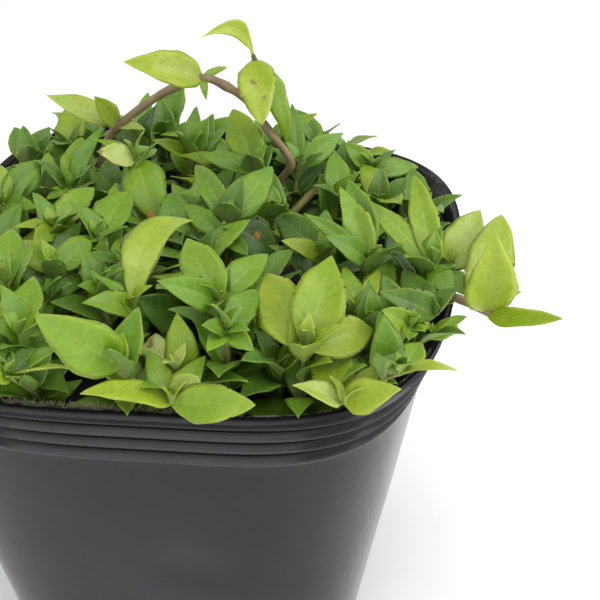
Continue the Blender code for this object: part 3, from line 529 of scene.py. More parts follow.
# The runner's route over the back left of the pot, in millimetres, from its left foot to its right foot
RUNNER_ROUTE = [
    (-29, 25, 81.5), (-27, 24, 89), (-24, 24, 99), (-21, 24, 103.5), (-14, 24, 109.5), (-8, 24, 113.5),
    (-2, 24, 116), (3, 24, 114.5), (8, 24, 111), (11.5, 24, 105.5), (15, 24, 101), (16.5, 24, 97.5),
    (13, 24.5, 92), (10, 25, 81.5),
]
RUNNER_CROWN_ROUTE = [(8.5, 24, 110.5), (10.5, 23, 115.5), (9.5, 22, 121.5), (9.2, 21.7, 122.6)]
RUNNER_LEAVES = [
    ((-2, 24, 116), leaf((126, 61), 17.5, 7.6, 1, 0.9)),
    ((-2, 24, 116), leaf((227, 68), 6, 1.8, -1, 0.5)),
    ((-2, 24, 116), leaf((206, 98), 5, 1.6, 1, 0.3)),
    ((-21, 24, 103.5), leaf((46, 97), 16, 5.4, 1, 0.6)),
    ((-21, 24, 103.5), leaf((93, 96), 10, 4.6, 1, 0.7)),
    ((-21, 24, 103.5), leaf((145, 130), 7, 2.6, 1, 0.4)),
    ((9.5, 22, 121.5), leaf((207, 36), 13, 3.6, 1, 0.8, 0.05, 0.3)),
    ((9.5, 22, 121.5), leaf((262, 125), 17, 7.6, 1, 0.9, 0.1)),
    ((9.5, 22, 121.5), leaf((286, 142), 21, 5.6, -1, 0.6, 0.12)),
]

# The shoot that leans out over the right side of the lip
SIDE_ROUTE = [
    (36, 9, 81.5), (39, 6.2, 86.5), (45.5, 3.7, 88.5), (47.5, -4, 90), (50, -12.5, 92.8), (55, -18, 95),
    (59, -20, 94.5), (60.8, -21, 94.4),
]
SIDE_LEAVES = [
    ((60, -20.6, 94.4), leaf((496, 236), 16.5, 9.4, 1, 1.0, 0.1)),
    ((58, -19.5, 94.8), leaf((503, 213), 20, 8.8, -1, 1.0, 0.08)),
    ((60, -20.6, 94.4), leaf((562, 318), 16.5, 4.6, 1, 0.5, 0.04, 0.06)),
    ((60, -20.6, 94.4), leaf((521, 291), 6.5, 2.4, -1, 0.5)),
]

# Two thick old stems that show between the leaves
OLD_STEMS = {
    "old_stem_right": [
        (24.5, 44, 81.5), (25.5, 43, 88), (24.5, 40.5, 91.5), (21.7, 28, 91), (17.3, 20.5, 88),
        (13.5, 20, 81.5),
    ],
    "old_stem_left": [
        (-10, 25, 81.5), (-8.5, 24.6, 85.5), (-5.6, 25, 87.4), (-1.9, 29.8, 89.5), (4.4, 33, 90.5),
        (7.2, 36, 88), (7.5, 38, 81.5),
    ],
}


def photo_ray(pixel):
    """The camera's place and the direction in which it sees this pixel of the photograph."""
    back = Vector((
        math.sin(PHOTO_TURN) * math.cos(PHOTO_TILT),
        -math.cos(PHOTO_TURN) * math.cos(PHOTO_TILT),
        math.sin(PHOTO_TILT),
    ))
    right = Vector((math.cos(PHOTO_TURN), math.sin(PHOTO_TURN), 0))
    up = back.cross(right)
    across = (pixel[0] - PHOTO_MIDDLE) / PHOTO_FOCAL
    down = (pixel[1] - PHOTO_MIDDLE) / PHOTO_FOCAL
    return PHOTO_AIM + back * PHOTO_RANGE, (right * across - up * down - back).normalized()


def at_height(pixel, height):
    """The point at this height that the camera sees at this pixel."""
    eye, ray = photo_ray(pixel)
    return eye + ray * ((height - eye.z) / ray.z)


def tip_from(base, pixel, length, lean):
    """The point seen at this pixel that lies the leaf's length from its base, or the nearest there is."""
    eye, ray = photo_ray(pixel)
    along = (base - eye).dot(ray)
    spare = length**2 - (eye + ray * along - base).length_squared
    return eye + ray * (along - lean * math.sqrt(max(spare, 0)))


def facing(base, tip, face):
    """The leaf's upper side: level at face 0, square to the camera at face 1, its back to it below 0."""
    axis = (tip - base).normalized()
    view = photo_ray((PHOTO_MIDDLE, PHOTO_MIDDLE))[1]
    level = Vector((0, 0, 1)) - axis * axis.z
    square = -(view - axis * view.dot(axis)) * math.copysign(1, face)
    if level.length < LEVEL_LEAST:
        level = square
    return (level.normalized() * (1 - abs(face)) + square.normalized() * abs(face)).normalized()


def toned(name, leaves):
    """The leaves of one plant with the tones that they have in the photograph."""
    return [spec._replace(tone=tone) for spec, tone in zip(leaves, LEAF_TONES.get(name, ()))]


def blade_from(base, spec):
    tip = tip_from(base, spec.tip, spec.length, spec.lean)
    normal = facing(base, tip, spec.face)
    return Blade(base, tip, normal, (tip - base).length, spec.width, spec.droop, spec.sweep, spec.tone)


def half_width(share, width):
    """Half the leaf's width at this share of its length: narrow stalk, oval blade, pointed tip."""
    oval = math.sin(math.pi * min(share, 1) ** WIDEST_POWER) ** OUTLINE_POWER
    return width / 2 * max(oval, STALK_SHARE * (1 - share))


def blade_solid(blade, grow=0.0, start=0.0):
    """The leaf's solid: a sphere of three meridians, bent so that they are its two edges and its keel."""
    ball = bmesh.new()
    rows = 4 if blade.length > LONG_LEAF else 3
    bmesh.ops.create_uvsphere(ball, u_segments=3, v_segments=rows, radius=1)
    axis = (blade.tip - blade.base).normalized()
    side = axis.cross(blade.normal).normalized()
    verts = []
    for vert in ball.verts:
        share = start + (1 - start) * (1 + vert.co.z) / 2
        half = half_width(share, blade.width) + grow
        bow = 4 * share * (1 - share) * blade.length
        place = blade.base + (blade.tip - blade.base) * share + axis * vert.co.z * grow
        place += blade.normal * bow * blade.droop + side * bow * blade.sweep
        if abs(vert.co.x) > ON_AXIS:
            place += side * math.copysign(half, vert.co.x)
            place += blade.normal * (half * math.tan(LEAF_FOLD) + grow)
        elif vert.co.y > ON_AXIS:
            place -= blade.normal * (LEAF_THICKNESS / 2 + grow)
        verts.append(place)
    faces = [[v.index for v in face.verts] for face in ball.faces]
    ball.free()
    return verts, faces


def superellipse(share, height, inset=0.0):
    """The pot's outline at this height, as a share of the lip's, with the soft wall's slight unevenness."""
    climb = height / POT_HEIGHT
    power = CORNER_POWER_FOOT + (CORNER_POWER_LIP - CORNER_POWER_FOOT) * climb
    points = []
    for step in range(POT_SIDES):
        turn = math.tau * step / POT_SIDES
        turn += CORNER_CROWDING * math.sin(4 * turn)
        cos, sin = math.cos(turn), math.sin(turn)
        reach = (abs(cos) ** power + abs(sin) ** power) ** (-1 / power) * POT_HALF * share - inset
        reach *= 1 + WALL_WOBBLE * climb * math.cos(3 * turn)
        points.append(Vector((reach * cos, reach * sin * POT_DEPTH_RATIO, height)))
    return points


def outer_profile():
    """Height and share of the lip's size, from the lip down the ribs to the foot."""
    reach, height = 0.0, POT_HEIGHT
    rows = [(height, reach), (height - LIP_BEAD, reach)]
    height -= LIP_BEAD + STEP_HEIGHT / 2
    reach -= LIP_STEP
    for rib in range(RIB_COUNT):
        rows.append((height, reach))
        reach += RIB_FLARE
        height -= (RIB_HEIGHT if rib else FIRST_RIB) - STEP_HEIGHT
        rows.append((height, reach))
        reach -= LAST_STEP if rib == RIB_COUNT - 1 else RIB_STEP
        height -= STEP_HEIGHT
    rows.append((height, reach))
    profile = [(height, 1 + reach / POT_HALF) for height, reach in rows]
    profile += [(FOOT_ROUND, FOOT_SHARE), (0.0, FOOT_SHARE - FOOT_ROUND_SHARE)]
    return profile


def inner_share(height):
    """The inside of the pot at this height, as a share of the lip's outline."""
    band_foot, band_share = outer_profile()[-3]
    if height <= band_foot:
        climb = height / band_foot
        return FOOT_SHARE + (band_share - FOOT_SHARE) * climb - WALL / POT_HALF
    climb = (height - band_foot) / (POT_HEIGHT - band_foot)
    wall = WALL * (1 + BAND_BACKING * math.sin(math.pi * climb))
    return band_share + (1 - band_share) * climb - wall / POT_HALF


def soil_height(x, y):
    """The uneven top of the soil."""
    lumps = math.sin(x * 0.31 + 1.7) * math.cos(y * 0.27 - 0.6) + 0.6 * math.sin(x * 0.13 - y * 0.19)
    return SOIL_LEVEL + SOIL_LUMP * lumps


def loft(rings, closed_ends):
    """The vertices and faces of a skin through rings of equal length, with flat ends if asked."""
    sides = len(rings[0])
    verts = [point for ring in rings for point in ring]
    faces = []
    for row in range(len(rings) - 1):
        for step in range(sides):
            after = (step + 1) % sides
            low, high = row * sides, (row + 1) * sides
            faces.append((low + step, low + after, high + after, high + step))
    if closed_ends:
        faces.append(tuple(reversed(range(sides))))
        faces.append(tuple(range(len(verts) - sides, len(verts))))
    return verts, faces


def pot_rings():
    """The pot's outlines in order: up the outside, over the lip and down the inside to the floor."""
    rings = [superellipse(share, height) for height, share in reversed(outer_profile())]
    for height in (POT_HEIGHT, POT_HEIGHT * 0.9, outer_profile()[-3][0], POT_HEIGHT * 0.4, FLOOR):
        rings.append(superellipse(inner_share(height), height))
    return rings


def soil_rings():
    """The soil's outlines: up its side, then inwards over its top."""
    heights = (FLOOR + GAP, SOIL_LEVEL * 0.5, outer_profile()[-3][0] - 1.0)
    rings = [superellipse(inner_share(height), height, inset=SOIL_GAP) for height in heights]
    for share in SOIL_RINGS:
        ring = superellipse(inner_share(SOIL_LEVEL) * share, SOIL_LEVEL, inset=SOIL_GAP)
        rings.append([Vector((point.x, point.y, soil_height(point.x, point.y))) for point in ring])
    return rings


def soil_skin():
    """The soil's solid in triangles, so that the plants stand on the very facets that are built."""
    verts, faces = loft(soil_rings(), True)
    fans = [(face[0], face[k], face[k + 1]) for face in faces for k in range(1, len(face) - 1)]
    return verts, fans


def soil_top():
    """The soil's solid as a search tree, from which the height of its facets is read."""
    return BVHTree.FromPolygons(*soil_skin())


def facet_height(soil, x, y):
    """The height of the soil's solid at this place."""
    return soil.ray_cast(Vector((x, y, POT_HEIGHT)), Vector((0, 0, -1)))[0].z


class Thicket:
    """What is already in place, so that each new leaf or stem keeps clear of it."""

    def __init__(self):
        self.taken = []

    def add(self, owner, shape, outer=None):
        """Takes a shape into the thicket, with its outer part for the tests within its own plant."""
        for part, found in (("whole", shape), ("outer", outer)):
            if found:
                self.taken.append((owner, part, BVHTree.FromPolygons(*found), *bounds(found[0])))

    def clear(self, owner, shape, outer=None):
        """Whether a shape meets nothing of another owner, and its outer part nothing of its own."""
        tests = {"whole": (shape, BVHTree.FromPolygons(*shape), *bounds(shape[0]))}
        if outer:
            tests["outer"] = (outer, BVHTree.FromPolygons(*outer), *bounds(outer[0]))
        for other, part, tree, low, high in self.taken:
            wanted = "outer" if other == owner else "whole"
            if part != wanted or wanted not in tests:
                continue
            _, own_tree, own_low, own_high = tests[wanted]
            if any(own_high[k] < low[k] or own_low[k] > high[k] for k in range(3)):
                continue
            if own_tree.overlap(tree):
                return False
        return True


def bounds(verts):
    low = [min(vert[axis] for vert in verts) for axis in range(3)]
    high = [max(vert[axis] for vert in verts) for axis in range(3)]
    return low, high


def tube(route, radius):
    """A plain tube along a route, to test what it meets."""
    rings = []
    for step, point in enumerate(route):
        before, after = route[max(step - 1, 0)], route[min(step + 1, len(route) - 1)]
        along = (Vector(after) - Vector(before)).normalized()
        side = along.cross(TUBE_REFERENCE).normalized()
        other = along.cross(side)
        ring = []
        for corner in range(STEM_TEST_SIDES):
            turn = math.tau * corner / STEM_TEST_SIDES
            ring.append(Vector(point) + (side * math.cos(turn) + other * math.sin(turn)) * radius)
        rings.append(ring)
    return loft(rings, True)


def variants(blade, turns, lifts, scales):
    """The leaf as drawn, then turned, lifted and shortened a little more each time."""
    for scale in scales:
        for lift in lifts:
            for turn in turns:
                reach = (blade.tip - blade.base) * scale
                side = reach.cross(blade.normal).normalized()
                spin = Matrix.Rotation(math.radians(turn), 3, "Z")
                spin = spin @ Matrix.Rotation(math.radians(lift), 3, side)
                yield blade._replace(
                    tip=blade.base + spin @ reach,
                    normal=(spin @ blade.normal).normalized(),
                    length=blade.length * scale,
                    width=blade.width * (SLIM_LEAST + (1 - SLIM_LEAST) * scale),
                )


def settle(thicket, owner, blade, turns=TURNS, lifts=LIFTS, scales=SCALES):
    """The first variant of the leaf that is clear of everything, now part of the thicket, or None."""
    for option in variants(blade, turns, lifts, scales):
        if thicket.clear(owner, blade_solid(option, CLEARANCE), blade_solid(option, CLEARANCE, OUTER_FROM)):
            thicket.add(owner, blade_solid(option), blade_solid(option, 0, OUTER_FROM))
            return option
    return None


def in_pot(x, y, margin):
    """Whether this place on the soil is at least the margin away from the pot's wall."""
    turn = math.atan2(y / POT_DEPTH_RATIO, x)
    cos, sin = abs(math.cos(turn)), abs(math.sin(turn))
    reach = (cos**CORNER_POWER_LIP + sin**CORNER_POWER_LIP) ** (-1 / CORNER_POWER_LIP)
    reach *= POT_HALF * inner_share(SOIL_LEVEL) * (1 + WALL_WOBBLE * math.cos(3 * turn))
    return math.hypot(x, y / POT_DEPTH_RATIO) < reach - margin


def foot_under(soil, top):
    """Where a shoot with this top leaves the soil: below it, or leaning in where that is past the wall."""
    share = FOOT_PULL
    while not in_pot(top.x * share, top.y * share, FOOT_MARGIN):
        share -= FOOT_STEP
    x, y = top.x * share, top.y * share
    return Vector((x, y, facet_height(soil, x, y) + FOOT_CLEARANCE))


def stem_route(foot, top):
    """A stem that rises steeply first and then leans to its top, which it passes by a little."""
    rise = top - foot
    middle = foot + Vector((rise.x * STEM_BEND, rise.y * STEM_BEND, rise.z * 0.5))
    return [foot, middle, top + (top - middle).normalized() * TOP_STUB]


def plant_stem(soil, thicket, name, top):
    """The stem of a shoot, its foot moved until the stem is clear, or None."""
    for pull in FOOT_PULLS:
        for across, along in FOOT_SHIFTS:
            foot = foot_under(soil, Vector((top.x * pull + across, top.y * pull + along, top.z)))
            route = stem_route(foot, top)
            if thicket.clear(name, tube(route, STEM_RADIUS + CLEARANCE)):
                thicket.add(name, tube(route, STEM_RADIUS))
                return route
    return None


def level_blade(base, heading, rise, length):
    """A leaf by its compass heading and its rise, both in radians, lying as a young leaf does."""
    reach = Vector((math.cos(heading) * math.cos(rise), math.sin(heading) * math.cos(rise), math.sin(rise)))
    tip = base + reach * length
    return Blade(base, tip, facing(base, tip, 0.0), length, length * FILL_SLIMNESS, FILL_DROOP, 0.0)


def leaf_pair(rng, base, heading, steepness, length):
    """Two opposite leaves."""
    for half in range(2):
        turn = heading + math.pi * half + rng.uniform(-PAIR_TWIST, PAIR_TWIST)
        rise = math.radians(rng.uniform(*PAIR_RISE) + steepness)
        yield level_blade(base, turn, rise, length * rng.uniform(*PAIR_SIZES))


def creeping_routes(rng, soil, start, heading):
    """A stem that creeps over the soil, and the upright shoots along it."""
    creeper, uprights = [], []
    x, y = start
    start_heading = heading
    for step in range(CREEPER_STEPS):
        creeper.append(Vector((x, y, facet_height(soil, x, y) + CREEPER_LIFT)))
        heading += rng.uniform(-CREEPER_BEND, CREEPER_BEND)
        x += CREEPER_PITCH * math.cos(heading)
        y += CREEPER_PITCH * math.sin(heading)
        if not in_pot(x, y, FILL_KEEP_OFF):
            break
    for foot in creeper:
        rise = FILL_HEIGHT + FILL_BACK_RISE * max(foot.y / POT_HALF, 0)
        rise += rng.uniform(-HEIGHT_SPREAD, HEIGHT_SPREAD)
        x = foot.x * UPRIGHT_SPREAD + rng.uniform(-UPRIGHT_LEAN, UPRIGHT_LEAN)
        y = foot.y * UPRIGHT_SPREAD + rng.uniform(-UPRIGHT_LEAN, UPRIGHT_LEAN)
        uprights.append(stem_route(foot, Vector((x, y, foot.z + rise))))
    tail = Vector((math.cos(start_heading), math.sin(start_heading), 0)) * CREEPER_TAIL
    return [creeper[0] - tail] + creeper, uprights


def fill_places(rng):
    """Places on the soil, on a jittered triangular grid."""
    places = []
    rows = int(POT_HALF / FILL_PITCH) + 1
    for row in range(-rows, rows + 1):
        for column in range(-rows, rows + 1):
            x = (column + 0.5 * (row % 2)) * FILL_PITCH + rng.uniform(-FILL_JITTER, FILL_JITTER)
            y = row * FILL_PITCH * math.sqrt(0.75) + rng.uniform(-FILL_JITTER, FILL_JITTER)
            if in_pot(x, y, FILL_KEEP_OFF):
                places.append((x, y))
    return places


def emptiest(places, planted):
    """The place that is farthest from every stem planted so far."""
    return max(places, key=lambda place: min(math.dist(place, foot) for foot in planted))


def grow_creeper(rng, soil, thicket, name, start):
    """A creeping stem with its uprights and their leaves, where there is room for at least two, or None."""
    for attempt in range(CREEPER_TRIES):
        creeper, uprights = creeping_routes(rng, soil, start, rng.uniform(0, math.tau))
        stems = [creeper] + uprights
        shapes = [tube(stem, STEM_RADIUS + CLEARANCE) for stem in stems]
        if len(uprights) > 1 and all(thicket.clear(name, shape) for shape in shapes):
            break
    else:
        return None
    for stem in stems:
        thicket.add(name, tube(stem, STEM_RADIUS))
    blades = []
    for foot, middle, end in uprights:
        heading = rng.uniform(0, math.pi)
        top = end - (end - middle).normalized() * TOP_STUB
        blades += leaf_pair(rng, top, heading, TOP_STEEPNESS, FILL_LENGTH)
    settled = [settle(thicket, name, blade) for blade in blades]
    return Plant(name, stems, STEM_RADIUS, [blade for blade in settled if blade])


def grow_runner(thicket, name, routes, leaves):
    """A plant whose stems are drawn one by one."""
    stems = [[Vector(point) for point in route] for route in routes]
    for stem in stems:
        thicket.add(name, tube(stem, RUNNER_RADIUS))
    bases = [Vector(base) for base, _ in leaves]
    specs = toned(name, [spec for _, spec in leaves])
    blades = [settle(thicket, name, blade_from(base, spec)) for base, spec in zip(bases, specs)]
    return Plant(name, stems, RUNNER_RADIUS, [blade for blade in blades if blade])


def grow_all():
    """Every plant of the pot: the ones the photograph shows, then the creeping ones between them."""
    rng = random.Random(SEED)
    thicket = Thicket()
    soil = soil_top()
    thicket.add("pot", loft(pot_rings(), True))
    thicket.add("soil", soil_skin())
    plants = [
        grow_runner(thicket, "runner", [RUNNER_ROUTE, RUNNER_CROWN_ROUTE], RUNNER_LEAVES),
        grow_runner(thicket, "side_shoot", [SIDE_ROUTE], SIDE_LEAVES),
    ]
    plants += [grow_runner(thicket, name, [route], []) for name, route in OLD_STEMS.items()]
    routes = {}
    for name, shoot in SHOOTS.items():
        routes[name] = plant_stem(soil, thicket, name, at_height(shoot.top, shoot.height))
    for name, shoot in SHOOTS.items():
        if routes[name]:
            top = at_height(shoot.top, shoot.height)
            blades = [settle(thicket, name, blade_from(top, spec)) for spec in toned(name, shoot.leaves)]
            plants.append(Plant(name, [routes[name]], STEM_RADIUS, [blade for blade in blades if blade]))
    planted = [tuple(route[0].xy) for plant in plants for route in plant.routes]
    places = fill_places(rng)
    number = 0
    while places and len(plants) < NODE_LIMIT - 2:
        start = emptiest(places, planted)
        places.remove(start)
        creeper = grow_creeper(rng, soil, thicket, f"creeper_{number + 1:02d}", start)
        if creeper:
            plants.append(creeper)
            planted += [tuple(upright[0].xy) for upright in creeper.routes[1:]]
            number += 1
    return plants, thicket


def young_leaves(rng, thicket, plant):
    """Leaves too small or too low for the solids: the young ones at each top and the pairs below it."""
    stems = plant.routes if plant.name.startswith("shoot") else plant.routes[1:]
    tone = sum(blade.tone for blade in plant.blades) / max(len(plant.blades), 1)
    for route in stems:
        end, before = Vector(route[-1]), Vector(route[-2])
        rise = (end - before).normalized()
        top = end - rise * TOP_STUB
        heading = rng.uniform(0, math.pi)
        for size, steepness in BUDS:
            for half in range(2):
                turn = heading + math.pi * half + rng.uniform(-PAIR_TWIST, PAIR_TWIST)
                rise = math.radians(steepness + rng.uniform(-BUD_SPREAD, BUD_SPREAD))
                blade = level_blade(end, turn, rise, size * rng.uniform(*BUD_SIZES))
                yield blade._replace(width=blade.length * BUD_SLIMNESS, tone=tone + BUD_TONE_RISE)
            heading += math.pi / 2
        foot = Vector(route[-3])
        for share, size, steepness in LOW_PAIRS:
            base = foot.lerp(before, share * 2) if share < 0.5 else before.lerp(top, share * 2 - 1)
            heading += math.pi / 2 + rng.uniform(-0.3, 0.3)
            for blade in leaf_pair(rng, base, heading, steepness, size):
                found = settle(thicket, plant.name, blade, LOW_TURNS, LOW_LIFTS, LOW_SCALES)
                if found:
                    yield found._replace(tone=LOW_TONE_SHARE * tone + rng.uniform(-TONE_SPREAD, TONE_SPREAD))


class Skin:
    """Collects closed pieces of one object: their points, faces, material numbers and values per point."""

    def __init__(self):
        self.verts, self.faces, self.slots = [], [], []
        self.values = {"leaf": [], "tone": [], "mark": []}
        self.count = 0

    def add(self, verts, faces, slot, **values):
        self.verts.append(verts)
        self.faces.extend(tuple(i + self.count for i in face) for face in faces)
        self.slots.extend([slot] * len(faces))
        for label, found in self.values.items():
            found.append(np.broadcast_to(values.get(label, (0.0, 0.0, 0.0)), (len(verts), 3)))
        self.count += len(verts)

    def mesh(self, name):
        made = bpy.data.meshes.new(name)
        made.from_pydata((np.concatenate(self.verts) * MM).tolist(), [], self.faces)
        made.polygons.foreach_set("material_index", self.slots)
        made.polygons.foreach_set("use_smooth", [True] * len(self.faces))
        for label, found in self.values.items():
            layer = made.attributes.new(label, "FLOAT_VECTOR", "POINT")
            layer.data.foreach_set("vector", np.concatenate(found).astype(np.float32).ravel())
        made.update()
        return made


def ring_faces(rows, sides):
    """Faces of a closed skin through this many rings, with a cap at each end."""
    faces = []
    for row in range(rows - 1):
        for step in range(sides):
            after = (step + 1) % sides
            low, high = row * sides, (row + 1) * sides
            faces.append((low + step, low + after, high + after, high + step))
    faces.append(tuple(reversed(range(sides))))
    faces.append(tuple(range((rows - 1) * sides, rows * sides)))
    return faces


def leaf_marks(blade, marks, along, over):
    """How strongly a leaf is spotted orange or burnt brown at each of its points."""
    found = np.zeros((2, *np.broadcast_shapes(along.shape, over.shape)))
    for kind, share, side, radius in marks:
        gap = (along - share * blade.length) ** 2 + (over - side * blade.width / 2) ** 2
        found[kind] = np.maximum(found[kind], np.exp(-gap / radius**2))
    return found


def leaf_skin(skin, rng, blade, marks=()):
    """One leaf blade: folded along its midrib, arched, a little puffed between its veins, and thin."""
    rows = max(LEAF_ROWS[0], min(LEAF_ROWS[1], round(blade.length * ROWS_PER_MM)))
    u = np.linspace(0, 1, rows + 1)[:, None]
    v = np.linspace(-1, 1, LEAF_COLUMNS + 1)[None, :]
    oval = np.clip(np.sin(np.pi * u ** rng.uniform(*WIDEST_POWERS)), 0, 1) ** rng.uniform(*TAPER_POWERS)
    half = blade.width / 2 * np.maximum(oval, STALK_SHARE * (1 - u)) + TIP_WIDTH
    phase, waves = rng.uniform(0, math.tau), rng.uniform(*WAVES)
    half = half * (1 + EDGE_UNEVENNESS * np.sin(2 * math.tau * waves * u + phase))
    across = half * v
    fold = math.tan(rng.uniform(*FOLDS)) * (1 + rng.uniform(-FOLD_SKEW, FOLD_SKEW) * v)
    lift = half * fold * (np.sqrt(v**2 + FOLD_SOFTNESS) - math.sqrt(FOLD_SOFTNESS))
    lift = lift * np.sin(np.pi * np.clip(u * 0.9 + 0.1, 0, 1)) ** 0.35
    lift = lift - half * rng.uniform(*ARCHES) * np.abs(v) ** 2.6
    ripple = np.sin(math.tau * waves * u + phase + np.sign(v) * 0.9)
    lift = lift + half * rng.uniform(*EDGE_WAVES) * v**2 * ripple
    vein = (u * blade.length - np.abs(across) * VEIN_SLANT) / max(VEIN_PITCH_LEAST, blade.length / VEIN_COUNT)
    body = np.sin(np.pi * u) * (1 - v**4) * np.clip(np.abs(v) * 4, 0, 1)
    lift = lift + QUILT * body * (np.abs(np.sin(np.pi * vein)) - 0.5) * min(1.0, blade.width / 6)
    twist = rng.uniform(-TWIST, TWIST) * (u - 0.3)
    start, tip, normal = (np.array(x) for x in (blade.base, blade.tip, blade.normal))
    axis = (tip - start) / np.linalg.norm(tip - start)
    side = np.cross(axis, normal)
    side /= np.linalg.norm(side)
    normal = np.cross(side, axis)
    bow = (4 * u * (1 - u) * blade.length)[..., None]
    recurve = (-rng.uniform(*RECURVE) * u**3 * blade.length)[..., None]
    centre = start + (tip - start) * u[..., None] + normal * (bow * blade.droop + recurve)
    centre = centre + side * bow * blade.sweep
    cos, sin = np.cos(twist)[..., None], np.sin(twist)[..., None]
    turned_side, turned_normal = side * cos + normal * sin, normal * cos - side * sin
    upper = centre + turned_side * across[..., None] + turned_normal * lift[..., None]
    thick = BLADE_THICKNESS * (1 - np.abs(v) ** 3) * np.ones_like(u)
    rib = RIB_DEPTH * np.exp(-((across / RIB_WIDTH) ** 2)) * (1 - 0.75 * u)
    lower = upper - turned_normal * (thick + rib)[..., None]

    def around(values):
        """The values of the upper side, repeated for the lower side."""
        full = np.broadcast_to(values, (rows + 1, LEAF_COLUMNS + 1))
        return np.concatenate([full, full[:, -2:0:-1]], axis=1)

    ring = np.concatenate([upper, lower[:, -2:0:-1]], axis=1)
    sides = ring.shape[1]
    under = np.broadcast_to(np.arange(sides) > LEAF_COLUMNS, (rows + 1, sides)).astype(float)
    spot, burn = leaf_marks(blade, marks, u * blade.length, across)
    tone = np.full_like(under, blade.tone)
    chance = np.full_like(under, rng.random())
    skin.add(
        ring.reshape(-1, 3),
        ring_faces(rows + 1, sides),
        0,
        leaf=np.stack([around(u), around(v), under], axis=-1).reshape(-1, 3),
        tone=np.stack([tone, around(vein), chance], axis=-1).reshape(-1, 3),
        mark=np.stack([around(spot), around(burn), around(across)], axis=-1).reshape(-1, 3),
    )


def smooth_route(route, step):
    """A Catmull-Rom curve through the route's points, about one point per step."""
    points = np.array([tuple(point) for point in route], float)
    padded = np.concatenate([[2 * points[0] - points[1]], points, [2 * points[-1] - points[-2]]])
    found = []
    for a, b, c, d in zip(padded, padded[1:], padded[2:], padded[3:]):
        count = max(2, round(np.linalg.norm(c - b) / step))
        for t in np.linspace(0, 1, count, endpoint=False):
            bent = (2 * a - 5 * b + 4 * c - d) * t**2 + (3 * b - a - 3 * c + d) * t**3
            found.append(0.5 * (2 * b + (c - a) * t + bent))
    found.append(points[-1])
    return np.array(found)


def stem_skin(skin, rng, route, radius, nodes, end_share, tone):
    """A round stem with a slight swelling at each node, thinning to its end."""
    points = smooth_route(route, STEM_STEP)
    rows = len(points)
    along = np.gradient(points, axis=0)
    along /= np.linalg.norm(along, axis=1)[:, None]
    side = np.cross(along, np.array(TUBE_REFERENCE))
    side /= np.linalg.norm(side, axis=1)[:, None]
    other = np.cross(along, side)
    share = np.linspace(0, 1, rows)
    width = radius * (1 + (end_share - 1) * share**2)
    for node in nodes:
        gap = np.linalg.norm(points - np.array(tuple(node)), axis=1)
        width = width * (1 + NODE_SWELLING * np.exp(-((gap / (radius * 1.3)) ** 2)))
    turn = np.linspace(0, math.tau, STEM_SIDES, endpoint=False)
    phase = rng.uniform(0, math.tau)
    ripple = 1 + STEM_RIPPLE * np.sin(share[:, None] * rows * 0.9 + 2 * turn[None, :] + phase)
    spoke = side[:, None, :] * np.cos(turn)[None, :, None] + other[:, None, :] * np.sin(turn)[None, :, None]
    ring = points[:, None, :] + spoke * (width[:, None] * ripple)[..., None]
    skin.add(ring.reshape(-1, 3), ring_faces(rows, STEM_SIDES), 1, tone=(tone, radius, rng.random()))


def dress_plant(rng, thicket, plant):
    """The fine mesh that stands for one plant's solid."""
    skin = Skin()
    drawn = plant.name in THICK_STEMS
    for number, route in enumerate(plant.routes):
        creeping = plant.name.startswith("creeper") and number == 0
        points = [Vector(point) for point in route]
        if plant.name.startswith("shoot") or (drawn and number == 0):
            points = [points[0] - Vector((0, 0, STEM_SINK))] + points
        if plant.name.startswith("old_stem"):
            points.append(points[-1] - Vector((0, 0, STEM_SINK)))
        radius, end_share, tone = THIN_STEM if creeping else FINE_STEM
        if drawn:
            radius, end_share, tone = THICK_STEMS[plant.name][number]
        tone += rng.uniform(-TONE_SPREAD, TONE_SPREAD)
        nodes = points[2:-1:2] if drawn else points[1:-1]
        stem_skin(skin, rng, points, radius, nodes, end_share, tone)
    if plant.name.startswith("creeper"):
        tones = [rng.uniform(*FILL_TONES) for _ in plant.blades]
        blades = [blade._replace(tone=tone) for blade, tone in zip(plant.blades, tones)]
        plant = plant._replace(blades=blades)
    for number, blade in enumerate(plant.blades):
        leaf_skin(skin, rng, blade, MARKS.get((plant.name, number), ()))
    if not drawn:
        for blade in young_leaves(rng, thicket, plant):
            leaf_skin(skin, rng, blade)
    return skin


def soften(corners, radius):
    """Rounds the inner corners of a polyline of (height, reach) points where they are sharp."""
    points = [np.array(corners[0], float)]
    for before, here, after in zip(corners, corners[1:], corners[2:]):
        before, here, after = (np.array(point, float) for point in (before, here, after))
        back, on = before - here, after - here
        if np.dot(back, on) < SHARPEST_KEPT * np.linalg.norm(back) * np.linalg.norm(on):
            points.append(here)
            continue
        first = here + back * min(radius / np.linalg.norm(back), 0.48)
        last = here + on * min(radius / np.linalg.norm(on), 0.48)
        for t in np.linspace(0, 1, 5):
            points.append(first * (1 - t) ** 2 + here * 2 * t * (1 - t) + last * t**2)
    points.append(np.array(corners[-1], float))
    return points


def soft_wall(turn, height):
    """How far the thin wall stands out of true here, in millimetres."""
    climb = height / POT_HEIGHT
    bend = 0.0
    for count, shift, rise, depth in WALL_WAVES:
        bend += depth * math.sin(count * turn + shift + rise * climb)
    for middle, level, spread, tall, depth in DENTS:
        gap = (turn - middle + math.pi) % math.tau - math.pi
        bend += depth * math.exp(-((gap / spread) ** 2) - ((height - level) / tall) ** 2)
    return bend * math.sin(math.pi * min(max(climb, 0.02), 0.98)) ** 0.5


